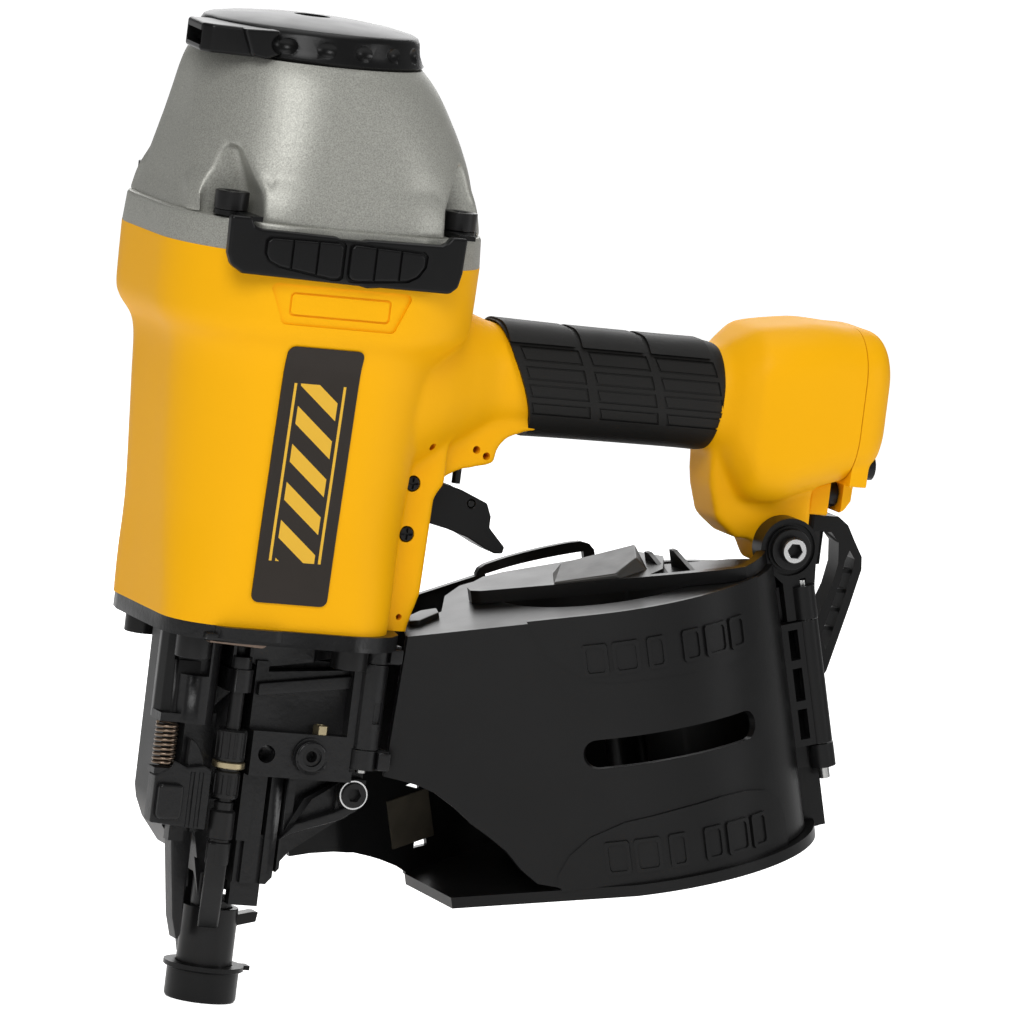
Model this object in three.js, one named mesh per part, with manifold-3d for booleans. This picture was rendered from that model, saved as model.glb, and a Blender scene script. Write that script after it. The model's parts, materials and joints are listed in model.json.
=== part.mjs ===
// Pneumatic coil nail gun, in millimetres.
// +Z runs up the driver axis from the contact face of the nose, +X runs back along the handle, and
// -Y is the side with the nose door and the magazine cover. Pieces are designed about the driver axis;
// the finished tool is then moved so that its origin is under the middle of its bounding box.
import * as THREE from 'three';
import { mergeVertices } from 'three/addons/utils/BufferGeometryUtils.js';
import Module from 'manifold-3d';

const wasm = await Module();
wasm.setup();

// Driving dimensions
const NOSE_TOP = 138.5;            // top face of the nose flange, bottom of the main housing
const PARTING = 270;               // top of the main housing, bottom of the head cap
const RIM_TOP = 281;               // flat rim of the head cap, where its screws sit
const CAP_TOP = 335.5;             // top of the head cap under the exhaust deflector
const OVERALL = 350;               // top of the exhaust deflector
const BODY_X = 1;                  // the lower body's centre line
const HEAD_X = 3;                  // the head's centre line
const HANDLE_Z = 229;              // handle centre line height
const BORE_R = 28;                 // cylinder bore
const BOLT_X = 29;                 // half of the nose bolt spacing along X
const BOLT_Y = 28;                 // half of the nose bolt spacing along Y
const CAP_SCREW = 42.3;            // half of the cap screw spacing
const HINGE_X = 41.5;              // nose door hinge axis
const HINGE_Y = -22;
const TRIP_X = -8.5;               // depth adjuster axis
const TRIP_Y = -24;
const CAN_X = 158.6;               // magazine axis at the floor
const CAN_Z = 66.2;
const CAN_TILT = 15.1 * Math.PI / 180;
const CAN_R = 60;                  // magazine outer radius at the floor
const CAN_H = 97;                  // magazine wall height
const WALL = 2.6;                  // magazine wall thickness
const BAIL_FOOT = 85;              // bail on the far wall: bottom of the gap under it, and its top
const BAIL_TOP = 100.6;
const LID_TOP = 102;               // top of the magazine lid
const DOOR_END = 51;               // front limit of the magazine cover, behind the nose door's hinge
const PIN_A = 66;                  // cover hinge axis in the magazine's own frame
const PIN_B = -20;
const EYE_X = 193;                 // hanger bolt axis
const EYE_Z = 179;
const HOOK_X = 209.8;              // rafter hook pivot axis
const HOOK_Y = 2;
const HEAD_HALF = 58.5;            // half of the head's length along X
const INLET_Z = 231;               // air inlet axis height
const INLET_END = 227.5;           // rear face of the air inlet
const TOOL_END = 229.5;            // rear edge of the rafter hook, the tool's rearmost point
const CAP_SEAT = 212;              // parting face between the housing and the end cap
const GAP = 0.3;                   // clearance between neighbouring pieces

// Materials
function paint(color, roughness, metalness) {
  return new THREE.MeshStandardMaterial({ color, roughness, metalness });
}
const yellow = paint(0xf2ac0c, 0.35, 0.1);
const silver = paint(0x9b9c96, 0.45, 0.6);
const plastic = paint(0x17171a, 0.5, 0);
const rubber = paint(0x141414, 0.85, 0);
const casting = paint(0x1b1b1d, 0.55, 0.4);
const blackSteel = paint(0x1e1d1c, 0.4, 0.8);
const steel = paint(0xb4b6b8, 0.3, 1);
const alloy = paint(0xa9acae, 0.4, 0.9);
const labelInk = paint(0x28211c, 0.3, 0);

const root = new THREE.Group();
const tool = new THREE.Group();
tool.position.x = -(TOOL_END + HEAD_X - HEAD_HALF) / 2;
root.add(tool);
const magazine = new THREE.Group();
magazine.position.set(CAN_X, 0, CAN_Z);
magazine.rotation.y = -CAN_TILT;
tool.add(magazine);

// Shape helpers

function solid(geometry) {
  const bare = geometry.index ? geometry.clone() : geometry;
  for (const name of ['normal', 'uv']) {
    if (bare.getAttribute(name)) bare.deleteAttribute(name);
  }
  const merged = mergeVertices(bare, 1e-4);
  const vertProperties = new Float32Array(merged.getAttribute('position').array);
  const triVerts = new Uint32Array(merged.index.array);
  return new wasm.Manifold(new wasm.Mesh({ numProp: 3, vertProperties, triVerts }));
}

function add(name, body, material, group = tool) {
  const mesh = body.getMesh();
  const geometry = new THREE.BufferGeometry();
  geometry.setAttribute('position', new THREE.BufferAttribute(mesh.vertProperties, 3));
  geometry.setIndex(new THREE.BufferAttribute(mesh.triVerts, 1));
  geometry.computeVertexNormals();
  const piece = new THREE.Mesh(geometry, material);
  piece.name = name;
  group.add(piece);
}

function join(...bodies) {
  return bodies.reduce((whole, body) => whole.add(body));
}

function cut(body, ...tools) {
  return tools.reduce((rest, tool) => rest.subtract(tool), body);
}

function block(x0, x1, y0, y1, z0, z1) {
  const geometry = new THREE.BoxGeometry(x1 - x0, y1 - y0, z1 - z0);
  geometry.translate((x0 + x1) / 2, (y0 + y1) / 2, (z0 + z1) / 2);
  return solid(geometry);
}

// A round bar along Z, X or Y, from one end to the other, with the radius at each end.
function post(x, y, z0, z1, r0, r1 = r0, sides = 16) {
  const geometry = new THREE.CylinderGeometry(r1, r0, z1 - z0, sides);
  geometry.rotateX(Math.PI / 2);
  geometry.translate(x, y, (z0 + z1) / 2);
  return solid(geometry);
}

function barX(x0, x1, y, z, r0, r1 = r0, sides = 16) {
  const geometry = new THREE.CylinderGeometry(r1, r0, x1 - x0, sides);
  geometry.rotateZ(-Math.PI / 2);
  geometry.translate((x0 + x1) / 2, y, z);
  return solid(geometry);
}

function barY(x, y0, y1, z, r, sides = 16) {
  const geometry = new THREE.CylinderGeometry(r, r, y1 - y0, sides);
  geometry.translate(x, (y0 + y1) / 2, z);
  return solid(geometry);
}

function tube(x, y, z0, z1, outer, inner, sides = 20) {
  return cut(post(x, y, z0, z1, outer, outer, sides), post(x, y, z0 - 1, z1 + 1, inner, inner, sides));
}

// A profile of [radius, z] points, counterclockwise, turned about the vertical line through x.
function turned(profile, x, sides) {
  const geometry = new THREE.LatheGeometry(profile.map(([r, z]) => new THREE.Vector2(r, z)), sides);
  geometry.rotateX(Math.PI / 2);
  geometry.translate(x, 0, 0);
  return solid(geometry);
}

function outline(points) {
  return new THREE.Shape(points.map(([u, v]) => new THREE.Vector2(u, v)));
}

// A side profile in X and Z, carried from y0 to y1.
function slab(points, y0, y1) {
  const geometry = new THREE.ExtrudeGeometry(outline(points), { depth: y1 - y0, bevelEnabled: false });
  geometry.rotateX(Math.PI / 2);
  geometry.translate(0, y1, 0);
  return solid(geometry);
}

// A plan in X and Y, carried from z0 to z1.
function plate(points, z0, z1) {
  const geometry = new THREE.ExtrudeGeometry(outline(points), { depth: z1 - z0, bevelEnabled: false });
  geometry.translate(0, 0, z0);
  return solid(geometry);
}

function roundedLoop(cu, cv, au, av, radius, perCorner = 5) {
  const loop = [];
  const corners = [[1, 1, 0], [-1, 1, 90], [-1, -1, 180], [1, -1, 270]];
  for (const [su, sv, start] of corners) {
    for (let i = 0; i < perCorner; i++) {
      const angle = (start + 90 * i / (perCorner - 1)) * Math.PI / 180;
      const u = cu + su * (au - radius) + radius * Math.cos(angle);
      const v = cv + sv * (av - radius) + radius * Math.sin(angle);
      loop.push([u, v]);
    }
  }
  return loop;
}

// A skin through loops with equal point counts; place(u, v, w) gives each point in X, Y, Z.
function loft(sections, place) {
  const count = sections[0].loop.length;
  const positions = [];
  for (const { loop, at } of sections) {
    for (const [u, v] of loop) positions.push(...place(u, v, at));
  }
  const index = [];
  for (let s = 0; s < sections.length - 1; s++) {
    for (let i = 0; i < count; i++) {
      const a = s * count + i;
      const b = s * count + (i + 1) % count;
      index.push(a, b, b + count, a, b + count, a + count);
    }
  }
  const last = (sections.length - 1) * count;
  for (let i = 1; i < count - 1; i++) {
    index.push(0, i + 1, i);
    index.push(last, last + i, last + i + 1);
  }
  const geometry = new THREE.BufferGeometry();
  geometry.setAttribute('position', new THREE.Float32BufferAttribute(positions, 3));
  geometry.setIndex(index);
  return solid(geometry);
}

const upZ = (u, v, w) => [u, v, w];
const alongX = (u, v, w) => [w, u, v];

function section(at, cu, cv, au, av, radius) {
  return { at, loop: roundedLoop(cu, cv, au, av, radius) };
}

class Coil extends THREE.Curve {
  constructor(x, y, z0, z1, radius, turns) {
    super();
    Object.assign(this, { x, y, z0, z1, radius, turns });
  }

  getPoint(t, target = new THREE.Vector3()) {
    const angle = 2 * Math.PI * this.turns * t;
    const z = this.z0 + (this.z1 - this.z0) * t;
    return target.set(this.x + this.radius * Math.cos(angle), this.y + this.radius * Math.sin(angle), z);
  }
}

function spring(x, y, z0, z1, radius, wire, turns) {
  const path = new Coil(x, y, z0 + wire, z1 - wire, radius, turns);
  const round = new THREE.Shape();
  round.absarc(0, 0, wire, 0, 2 * Math.PI);
  const options = { steps: turns * 7, curveSegments: 2, extrudePath: path, bevelEnabled: false };
  return solid(new THREE.ExtrudeGeometry(round, options));
}

// A socket-head screw: shank, head and hexagonal socket, with its head towards +Z or -Z.
function capScrew(x, y, seat, up, headR, headH, shankR, shankL) {
  const top = seat + up * headH;
  const head = post(x, y, Math.min(seat, top), Math.max(seat, top), headR);
  const shankEnd = seat - up * shankL;
  const shank = post(x, y, Math.min(seat, shankEnd), Math.max(seat, shankEnd), shankR, shankR, 16);
  const depth = up * headH * 0.55;
  const socket = post(x, y, Math.min(top - depth, top + up), Math.max(top - depth, top + up),
    headR * 0.5, headR * 0.5, 6);
  return cut(join(head, shank), socket);
}

// Seats of the end cap's bolts: X of the face under the head, and the axis in Y and Z.
const END_BOLTS = [[216.8, -17, 210], [216.8, 17, 210], [211.8, 0, 197.5]];

// Main housing: head, body, trigger spine, handle neck, handle, rear block and hanger leg in one casting.

function housingBody() {
  return loft([
    section(NOSE_TOP, BODY_X, 0, 41.5, 44.5, 28),
    section(165, BODY_X, 0, 43, 45.5, 29),
    section(197, BODY_X, 0, 45.5, 48, 31),
    section(234, BODY_X, 0, 48, 50.5, 33),
    section(246, HEAD_X, 0, 57.5, 57.5, 40),
    section(PARTING, HEAD_X, 0, HEAD_HALF, 58, 41),
  ], upZ);
}

function housingSpine() {
  const profile = [[20, NOSE_TOP], [53, NOSE_TOP], [56.5, 152], [57.5, 187], [61, 192], [67, 196],
    [81, 199.5], [81, 204.5], [84, 209], [92, 212], [104, 214], [104, 240], [20, 240]];
  const spine = slab(profile, -21, 21);
  const sides = block(60, 86, -14, 14, 180, 225);
  return join(spine.intersect(block(0, 60, -21, 21, 130, 250)), spine.intersect(sides));
}

function housingHandle() {
  return loft([
    section(30, 0, 222, 42, 36, 30),
    section(52, 0, 226, 33, 29, 25),
    section(68, 0, 229, 24, 23, 20),
    section(82, 0, HANDLE_Z, 18.5, 18.5, 16),
    section(158, 0, HANDLE_Z, 17, 17, 15),
    section(166, 0, 228, 19.5, 20, 15),
    section(176, 0, 225, 27, 31, 17),
    section(186, 0, 225.8, 28, 31.8, 18),
    section(195, 0, 228.2, 28, 30.5, 18),
    section(CAP_SEAT, 0, 231, 27.5, 27.5, 18),
  ], alongX);
}

function hangerLeg() {
  const profile = [[162.6, 214], [164, 198], [168, 186], [176, 180], [183, 180], [188, 171], [199, 171],
    [204, 182], [203, 206]];
  return slab(profile, -12, 12);
}

function mainHousing() {
  const shell = join(housingBody(), housingSpine(), housingHandle(), hangerLeg());
  const chamber = join(
    post(0, 0, NOSE_TOP - 1, 151, 31.3, 31.3, 24),
    post(0, 0, 150, 250, 35.5, 35.5, 24),
    post(0, 0, 248, PARTING + 1, 46, 46, 24),
    barX(30, 214, 0, HANDLE_Z + 3, 11, 11, 12),
    loft([section(178, 0, 228, 20, 22, 12), section(214, 0, 231, 20, 20, 12)], alongX));
  const panel = join(block(-26, 26, -60, -56.2, 247.5, 260.5), block(-22, 22, -57, -55, 250, 258));
  const triggerSlot = join(block(46, 64, -8.8, 8.8, 160, 195.5), block(60, 80, -8.8, 8.8, 160, 196));
  const valveHole = post(72, 0, 190, 226, 7.3);
  const pinHole = barY(53, -30, 30, 186, 2.3, 12);
  const screwHoles = [173, 191].map((z) => barY(48, -30, -10, z, 3.8, 12));
  const lugHoles = [[52, 205, 1.4], [73, 204, 1.3], [77, 202, 1.3]].map(([x, z, r]) =>
    barY(x, -30, 30, z, r, 8));
  const capHoles = cornerPoints(HEAD_X, CAP_SCREW).map(([x, y]) => post(x, y, 246, PARTING + 1, 3.4, 3.4, 10));
  const noseHoles = boltPoints().map(([x, y]) => post(x, y, NOSE_TOP - 1, NOSE_TOP + 14, 3.4, 3.4, 10));
  const boltHoles = END_BOLTS.map(([x, y, z]) => barX(x - 17, x + 2, y, z, 2.9, 2.9, 10));
  const hangerHole = barY(EYE_X, -20, 20, EYE_Z, 4.4, 12);
  return cut(shell, chamber, panel, triggerSlot, valveHole, pinHole, ...screwHoles, ...lugHoles,
    ...capHoles, ...noseHoles, ...boltHoles, hangerHole);
}

function cornerPoints(x, half) {
  return [[x - half, -half], [x + half, -half], [x - half, half], [x + half, half]];
}

function boltPoints() {
  return [[-1, -1], [1, -1], [-1, 1], [1, 1]].map(([sx, sy]) => [BODY_X + sx * BOLT_X, sy * BOLT_Y]);
}

add('main_housing', mainHousing(), yellow);

// Head: cap, screws, bumper guards, deflector and the head valve with its spring.

function headCap() {
  const dome = loft([
    section(PARTING, HEAD_X, 0, HEAD_HALF, 58, 41),
    section(279.6, HEAD_X, 0, 58, 57.5, 41),
    section(RIM_TOP, HEAD_X, 0, 55.5, 55, 41),
    section(296, 3.5, 0, 53.5, 53, 41),
    section(310, 2, 0, 50, 50, 41),
    section(322, 0, 0, 46.8, 46.8, 42),
    section(331, -2, 0, 43.4, 43.4, 42),
    section(CAP_TOP, -3.5, 0, 40.5, 40.5, 40),
  ], upZ);
  const bosses = cornerPoints(HEAD_X, CAP_SCREW).map(([x, y]) => post(x, y, PARTING, RIM_TOP, 9.5));
  const gussets = cornerPoints(HEAD_X, CAP_SCREW).map(([x, y]) => post(x, y, RIM_TOP - 1, 308, 13, 5));
  const pockets = cornerPoints(HEAD_X, CAP_SCREW).map(([x, y]) => join(post(x, y, RIM_TOP, 320, 9),
    block(x - 9, x + 9, Math.min(y, Math.sign(y) * 70), Math.max(y, Math.sign(y) * 70), RIM_TOP, 320)));
  const rim = plate(roundedLoop(HEAD_X, 0, HEAD_HALF - 0.5, 57.5, 41), PARTING, 320);
  const holes = cornerPoints(HEAD_X, CAP_SCREW).map(([x, y]) => post(x, y, 268, RIM_TOP + 2, 3.4, 3.4, 10));
  const bore = join(post(0, 0, 269, 280, 40, 40, 24), post(0, 0, 270, 319, 34.5, 34.5, 24));
  const ports = [90, 210, 330].map((deg) => {
    const angle = deg * Math.PI / 180;
    return post(-3 + 20 * Math.cos(angle), 20 * Math.sin(angle), 315, 340, 7, 7, 12);
  });
  const screwHole = post(-3, 0, 310, 340, 3.3, 3.3, 10);
  const guardSeats = [-1, 1].map((side) => {
    const y0 = side < 0 ? -70 : 57.2;
    return block(-38, 44, y0, y0 + 12.8, 260, 283.2);
  });
  return cut(join(dome, ...bosses, join(...gussets).intersect(rim)), ...pockets, ...holes, bore, ...ports, screwHole, ...guardSeats);
}

function bumperGuard(side) {
  const profile = [[-39, 262.5], [42, 262.5], [45, 268], [45.8, 282.4], [39, 282.4], [36, 279.5],
    [8, 279.5], [6, 278.5], [-2, 278.5], [-4, 279.5], [-34, 279.5], [-38, 283.2], [-45.5, 283.2], [-44.5, 268]];
  const y0 = side < 0 ? -62.5 : 58.3;
  const bar = slab(profile, y0, y0 + 4.2);
  const ears = [-1, 1].map((end) => {
    const x = HEAD_X + end * CAP_SCREW;
    const y = side * CAP_SCREW;
    const near = Math.min(y, side * 60);
    const inner = Math.min(x, x - end * 6);
    const ear = block(inner, inner + 6, near, near + Math.abs(side * 60 - y), RIM_TOP + 0.5, 283.2);
    return join(ear, post(x, y, RIM_TOP + 0.5, 283.2, 5.8));
  });
  const earHoles = [-1, 1].map((end) =>
    post(HEAD_X + end * CAP_SCREW, side * CAP_SCREW, 280, 285, 3.4, 3.4, 10));
  const pads = [[-29, -1], [4, 33]].map(([x0, x1]) => {
    const outer = side < 0 ? -64 : 61.7;
    return block(x0 + 2, x1 + 2, outer, outer + 2.3, 266, 276);
  });
  const ribs = [-24, -12, 9, 21].map((x) => {
    const outer = side < 0 ? -62.2 : 61;
    return block(x, x + 8, outer, outer + 1.2, 266.6, 275.4);
  });
  return join(cut(join(bar, ...ears), ...earHoles, ...pads), ...ribs);
}

function deflector() {
  const disc = turned([
    [0, OVERALL - 4.5], [36, OVERALL - 7], [38, CAP_TOP + GAP], [41, CAP_TOP + GAP], [41, CAP_TOP + 2],
    [39, OVERALL - 5], [36.5, OVERALL - 3], [20, OVERALL - 0.4], [0, OVERALL],
  ], -3, 28);
  const spout = block(-50, -28, -32, -1, CAP_TOP + GAP, 345.5);
  const chute = block(-48, -25, -30, -3, CAP_TOP + 2.5, 343.5);
  const outlet = block(-52, -44, -29, -4, CAP_TOP + 2.5, 343);
  const hub = post(-3, 0, CAP_TOP + GAP, OVERALL - 3, 8);
  const screwHole = join(post(-3, 0, 330, 352, 3.5, 3.5, 10), post(-3, 0, 344.5, 352, 6.4));
  const scallops = [...Array(12)].map((_, i) => {
    const angle = (-150 + i * 22.5) * Math.PI / 180;
    return post(-3 + 42.6 * Math.cos(angle), 42.6 * Math.sin(angle), 339, 345.5, 2.6, 4, 6);
  });
  return cut(join(cut(join(disc, spout), chute), hub), outlet, screwHole, ...scallops);
}

function addHead() {
  add('head_cap', headCap(), silver);
  cornerPoints(HEAD_X, CAP_SCREW).forEach(([x, y], i) => {
    add(`cap_screw_${i + 1}`, capScrew(x, y, 283.4, 1, 6, 6.5, 3, 34), blackSteel);
  });
  add('bumper_near', bumperGuard(-1), plastic);
  add('bumper_far', bumperGuard(1), plastic);
  add('exhaust_deflector', deflector(), plastic);
  add('deflector_screw', capScrew(-3, 0, 344.5 + GAP, 1, 5.5, 4.2, 3, 20), blackSteel);
  const valve = cut(post(0, 0, 273.3, 296, 33.8, 33.8, 24), post(0, 0, 270, 279, 25, 25, 20),
    post(0, 0, 283, 300, 24, 24, 20), post(0, 0, 270, 300, 8, 8, 12));
  add('head_valve', valve, alloy);
  add('head_valve_spring', spring(0, 0, 283.4, 318.6, 19, 1.3, 4), steel);
}

addHead();

// Drive: cylinder, bumper, seal, piston, piston ring and driver blade.

function addDrive() {
  const returnPort = barX(-40, 40, 0, 158, 2, 2, 6);
  const sleeve = cut(
    join(post(0, 0, 142, 272, 30.5, 30.5, 24), post(0, 0, 142, 149, 31, 31, 24),
      post(0, 0, 262, 272, 33.5, 33.5, 24)),
    post(0, 0, 140, 280, BORE_R, BORE_R, 24), tube(0, 0, 144, 147, 32, 29.4, 24), returnPort);
  add('cylinder_sleeve', sleeve, alloy);
  add('sleeve_seal', tube(0, 0, 144.1, 146.9, 31.1, 29.9, 24), rubber);
  add('drive_bumper', cut(post(0, 0, NOSE_TOP + 0.1, 152.5, 27.4, 25, 24),
    post(0, 0, 130, 160, 5.5, 5.5, 12)), rubber);
  const disc = cut(post(0, 0, 257, 270.5, 27.5, 27.5, 24), tube(0, 0, 262, 265.2, 29, 25, 24),
    post(0, 0, 264, 272, 14, 14, 12));
  add('piston', disc, alloy);
  add('piston_ring', tube(0, 0, 262.2, 265, 27.85, 25.3, 24), plastic);
  add('driver_blade', post(0, 0, 257 - 152, 256.9, 3, 3, 12), steel);
}

addDrive();

// Handle: rubber grip, end cap, its bolts, the air inlet and the side label.

function gripSleeve() {
  const skin = loft([
    section(80, 0, HANDLE_Z, 19.6, 19.6, 17),
    section(84, 0, HANDLE_Z, 20.4, 20, 17),
    section(159, 0, HANDLE_Z, 19.6, 19.4, 17),
    section(162, 0, HANDLE_Z, 18.8, 18.6, 16),
  ], alongX);
  const hole = loft([
    section(68, 0, 229, 24.3, 23.3, 20.3),
    section(82, 0, HANDLE_Z, 18.8, 18.8, 16.3),
    section(158, 0, HANDLE_Z, 17.3, 17.3, 15.3),
    section(166, 0, 228, 19.8, 20.3, 15.3),
  ], alongX);
  const slant = slab([[70, 200], [92.5, 200], [92, 211], [87, 227], [79, 248], [77, 260], [70, 260]], -30, 30);
  const pads = [];
  for (const side of [-1, 1]) {
    for (let row = 0; row < 4; row++) {
      for (let column = 0; column < 3; column++) {
        const x = 84 + column * 25.4 + row * 2.2;
        const z = HANDLE_Z + 11 - row * 6.3;
        const y = side < 0 ? -20.9 : 17.5;
        pads.push(block(x, x + 21, y, y + 3.4, z - 2.4, z + 2.4));
      }
    }
  }
  return cut(join(skin, ...pads), hole, slant);
}

function endCap() {
  const dome = loft([
    section(CAP_SEAT + GAP, 0, 231, 27.5, 27.5, 18),
    section(217, 0, 231.3, 26.8, 27, 17),
    section(221, 0, 231.5, 24.5, 25, 15),
    section(224, 0, 231.7, 20.5, 21, 12.5),
    section(225.8, 0, 231.8, 14, 14.5, 10),
  ], alongX);
  const lugs = [-1, 1].map((side) => {
    const y = side < 0 ? -23 : 11;
    return block(CAP_SEAT + GAP, 219, y, y + 12, 203, 216);
  });
  const foot = slab([[204.3, 190.2], [214, 190.2], [220, 195], [220, 208], [CAP_SEAT + GAP, 208],
    [CAP_SEAT + GAP, 203], [204.3, 200.2]], -7, 13);
  const footRoom = join(block(211.8, 216.8, -8, 5.2, 189, 202.9), barX(216, 222, 0, 197.5, 2.6, 2.6, 10));
  const hollow = loft([section(210, 0, 231, 20, 20, 12), section(216.5, 0, 231.3, 15, 15, 10)], alongX);
  const inlet = barX(216, 240, 0, INLET_Z, 8.3);
  const holes = END_BOLTS.map(([x, y, z]) => barX(x - 14, x + 1, y, z, 2.9, 2.9, 10));
  const headRooms = END_BOLTS.slice(0, 2).map(([x, y, z]) => barX(x, 235, y, z, 5.4));
  const hookHole = post(HOOK_X, HOOK_Y, 188, 193.6, 2.1, 2.1, 10);
  return cut(join(dome, ...lugs, foot), footRoom, hollow, inlet, hookHole, ...holes, ...headRooms);
}

function endBolt(x, y, z, headL) {
  const head = barX(x, x + headL, y, z, 4.6);
  const shank = barX(x - 15, x, y, z, 2.5, 2.5, 12);
  const socket = barX(x + headL / 2, x + headL + 1, y, z, 2.4, 2.4, 6);
  return cut(join(head, shank), socket);
}

function addHandle() {
  add('grip_sleeve', gripSleeve(), rubber);
  add('end_cap', endCap(), yellow);
  END_BOLTS.forEach(([x, y, z], i) => {
    add(`end_cap_bolt_${i + 1}`, endBolt(x + GAP, y, z, i < 2 ? 5.2 : 4.2), blackSteel);
  });
  const bushing = cut(barX(217, INLET_END, 0, INLET_Z, 8), barX(215, 235, 0, INLET_Z, 5.2));
  add('air_inlet_bushing', bushing, steel);
}

addHandle();

// Trigger group: trigger, safety lever, pin, valve body and stem, side screws and label.

function triggerBody() {
  const profile = [[49.5, 182.5], [50, 190], [56, 190.8], [63, 190.8], [72, 188.6], [82, 184.6], [84, 180],
    [84, 176], [90.5, 169.5], [90, 167.2], [87, 167], [83, 168.6], [76, 172], [68, 174.4], [58, 176.5]];
  const blade = slab(profile, -7.8, 7.8);
  const channel = block(57, 82, -4.6, 4.6, 178, 195);
  const pinHole = barY(53, -10, 10, 186, 2.3, 12);
  const leverHole = barY(76, -10, 10, 184, 1.6, 10);
  return cut(blade, channel, pinHole, leverHole);
}

function triggerLever() {
  const profile = [[58.5, 184.5], [58.5, 187], [72, 187.4], [78, 186.4], [78.4, 182], [75, 181.6]];
  const pin = barY(76, -7.6, 7.6, 184, 1.3, 10);
  return join(slab(profile, -4, 4), pin);
}

function phillipsScrew(z) {
  const head = barY(48, -21.6, -19, z, 3.5);
  const shank = barY(48, -19.2, -11, z, 2, 12);
  const cross = join(block(45.6, 50.4, -23, -20.4, z - 0.55, z + 0.55),
    block(47.45, 48.55, -23, -20.4, z - 2.4, z + 2.4));
  return cut(join(head, shank), cross);
}

function sideLabel() {
  const [left, right, bottom, top] = [-15.5, 12.5, 148, 239];
  const plan = [[left, bottom + 3], [left + 3, bottom], [right - 3, bottom], [right, bottom + 3],
    [right, top - 3], [right - 3, top], [left + 3, top], [left, top - 3]];
  const body = housingBody();
  const face = slab(plan, -60, -30);
  const outer = face.intersect(body.translate([0, -0.7, 0]));
  return cut(outer, body.translate([0, -0.1, 0]));
}

function addTrigger() {
  add('trigger', triggerBody(), plastic);
  add('trigger_lever', triggerLever(), blackSteel);
  add('trigger_pin', barY(53, -20.5, 20.5, 186, 2, 12), steel);
  const valve = cut(join(post(72, 0, 200, 222, 7, 7, 20), post(72, 0, 197.5, 200.5, 4.5, 4.5, 20)),
    post(72, 0, 190, 219, 2.6, 2.6, 12));
  add('trigger_valve_body', valve, alloy);
  add('valve_stem', join(post(72, 0, 190, 214, 1.6, 1.6, 12), post(72, 0, 206, 209, 2.3, 2.3, 12)), steel);
  [191, 173].forEach((z, i) => add(`side_screw_${i + 1}`, phillipsScrew(z), blackSteel));
  add('side_label', sideLabel(), labelInk);
}

addTrigger();

// Nose: casting with its flange, bolts, guard, contact trip, depth adjuster, door, latch and feed.

function noseFlange() {
  const plan = roundedLoop(BODY_X + 2.5, 0, 44, 46.5, 24);
  const rear = [[30, -22], [DOOR_END - 0.5, -19], [DOOR_END - 0.5, 22], [30, 22]];
  const lip = roundedLoop(-14, -40, 13, 8, 5);
  return join(plate(plan, 133, NOSE_TOP), plate(rear, 133, NOSE_TOP), plate(lip, 134.5, NOSE_TOP));
}

function noseCasting() {
  const column = slab([[-16, 134], [16, 134], [14, 60], [11, 40], [8, 37], [-8, 37], [-13, 60]], -10.8, 9.6);
  const tubeEnd = post(0, 0, 14, 60, 7.4, 7.4, 20);
  const farWall = slab([[0, 134], [46, 134], [46, 66], [24, 50], [8, 40], [0, 40]], 5.8, 9.6);
  const crown = join(post(0, 0, 124.5, 134, 17, 21), block(-12, 46, -16, 9.6, 128.5, 134));
  const columnBoss = join(post(-23, -20, 101, 134, 7.5, 8), block(-36, -20, -25, -15, 101, 104));
  const guideArm = join(block(-13, -4, TRIP_Y, -8, 113.5, 121.5), post(TRIP_X, TRIP_Y, 113.5, 121.5, 4.8));
  const latchRail = block(-24, -12.8, -17.4, -11.4, 62, 104).add(block(-15.5, -12.8, -12, -2, 62, 104));
  const hingeLugs = [[127, 133.5], [89, 96]].map(([z0, z1]) =>
    join(post(HINGE_X, HINGE_Y, z0, z1, 5.4), block(HINGE_X - 2, 50, HINGE_Y - 3, -12, z0, z1),
      block(HINGE_X + 2.5, 50, HINGE_Y - 3, 8, z0, z1)));
  const rearPost = block(47.2, 50, -12, 9.6, 89, 133.5);
  const bore = post(0, 0, 10, 150, 4.2, 4.2, 12);
  const nailSlot = block(0, 46.9, -5.6, 5.6, 37, 128.4);
  const doorRoom = join(block(-2.2, 46.9, -16, -5, 36, 125.8), block(-2.2, 34.6, -30, -5, 36, 125.8));
  const sleeveRoom = tube(0, 0, 34, 46, 11.4, 7.4).add(tube(0, 0, 30, 38, 30, 7.4));
  const guideHole = post(TRIP_X, TRIP_Y, 110, 125, 2.9, 2.9, 16);
  const pinHole = post(HINGE_X, HINGE_Y, 80, 133, 2.3, 2.3, 12);
  const pawlSlot = block(5, 23.5, 4, 12, 82.5, 93.5);
  const footRoom = block(-14, -3, -30, -8, 26, 48);
  const feedBracket = cut(block(28, 44, 9, 17, 81, 95), barX(20, 50, 24, 88, 9.3));
  const bodyParts = join(noseFlange(), column, tubeEnd, farWall, crown, columnBoss, guideArm, latchRail,
    rearPost, feedBracket, ...hingeLugs);
  const boltHoles = boltPoints().map(([x, y]) => post(x, y, 120, 142, 3.4, 3.4, 10));
  const boltRooms = boltPoints().map(([x, y]) => post(x, y, 118, 132.9, 7.3));
  return cut(bodyParts, bore, nailSlot, doorRoom, sleeveRoom, guideHole, pinHole, pawlSlot, footRoom,
    ...boltHoles, ...boltRooms, post(-31, -20, 84, 101, 5.8), post(-8.5, 18, 80, 133, 5.3));
}

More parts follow.
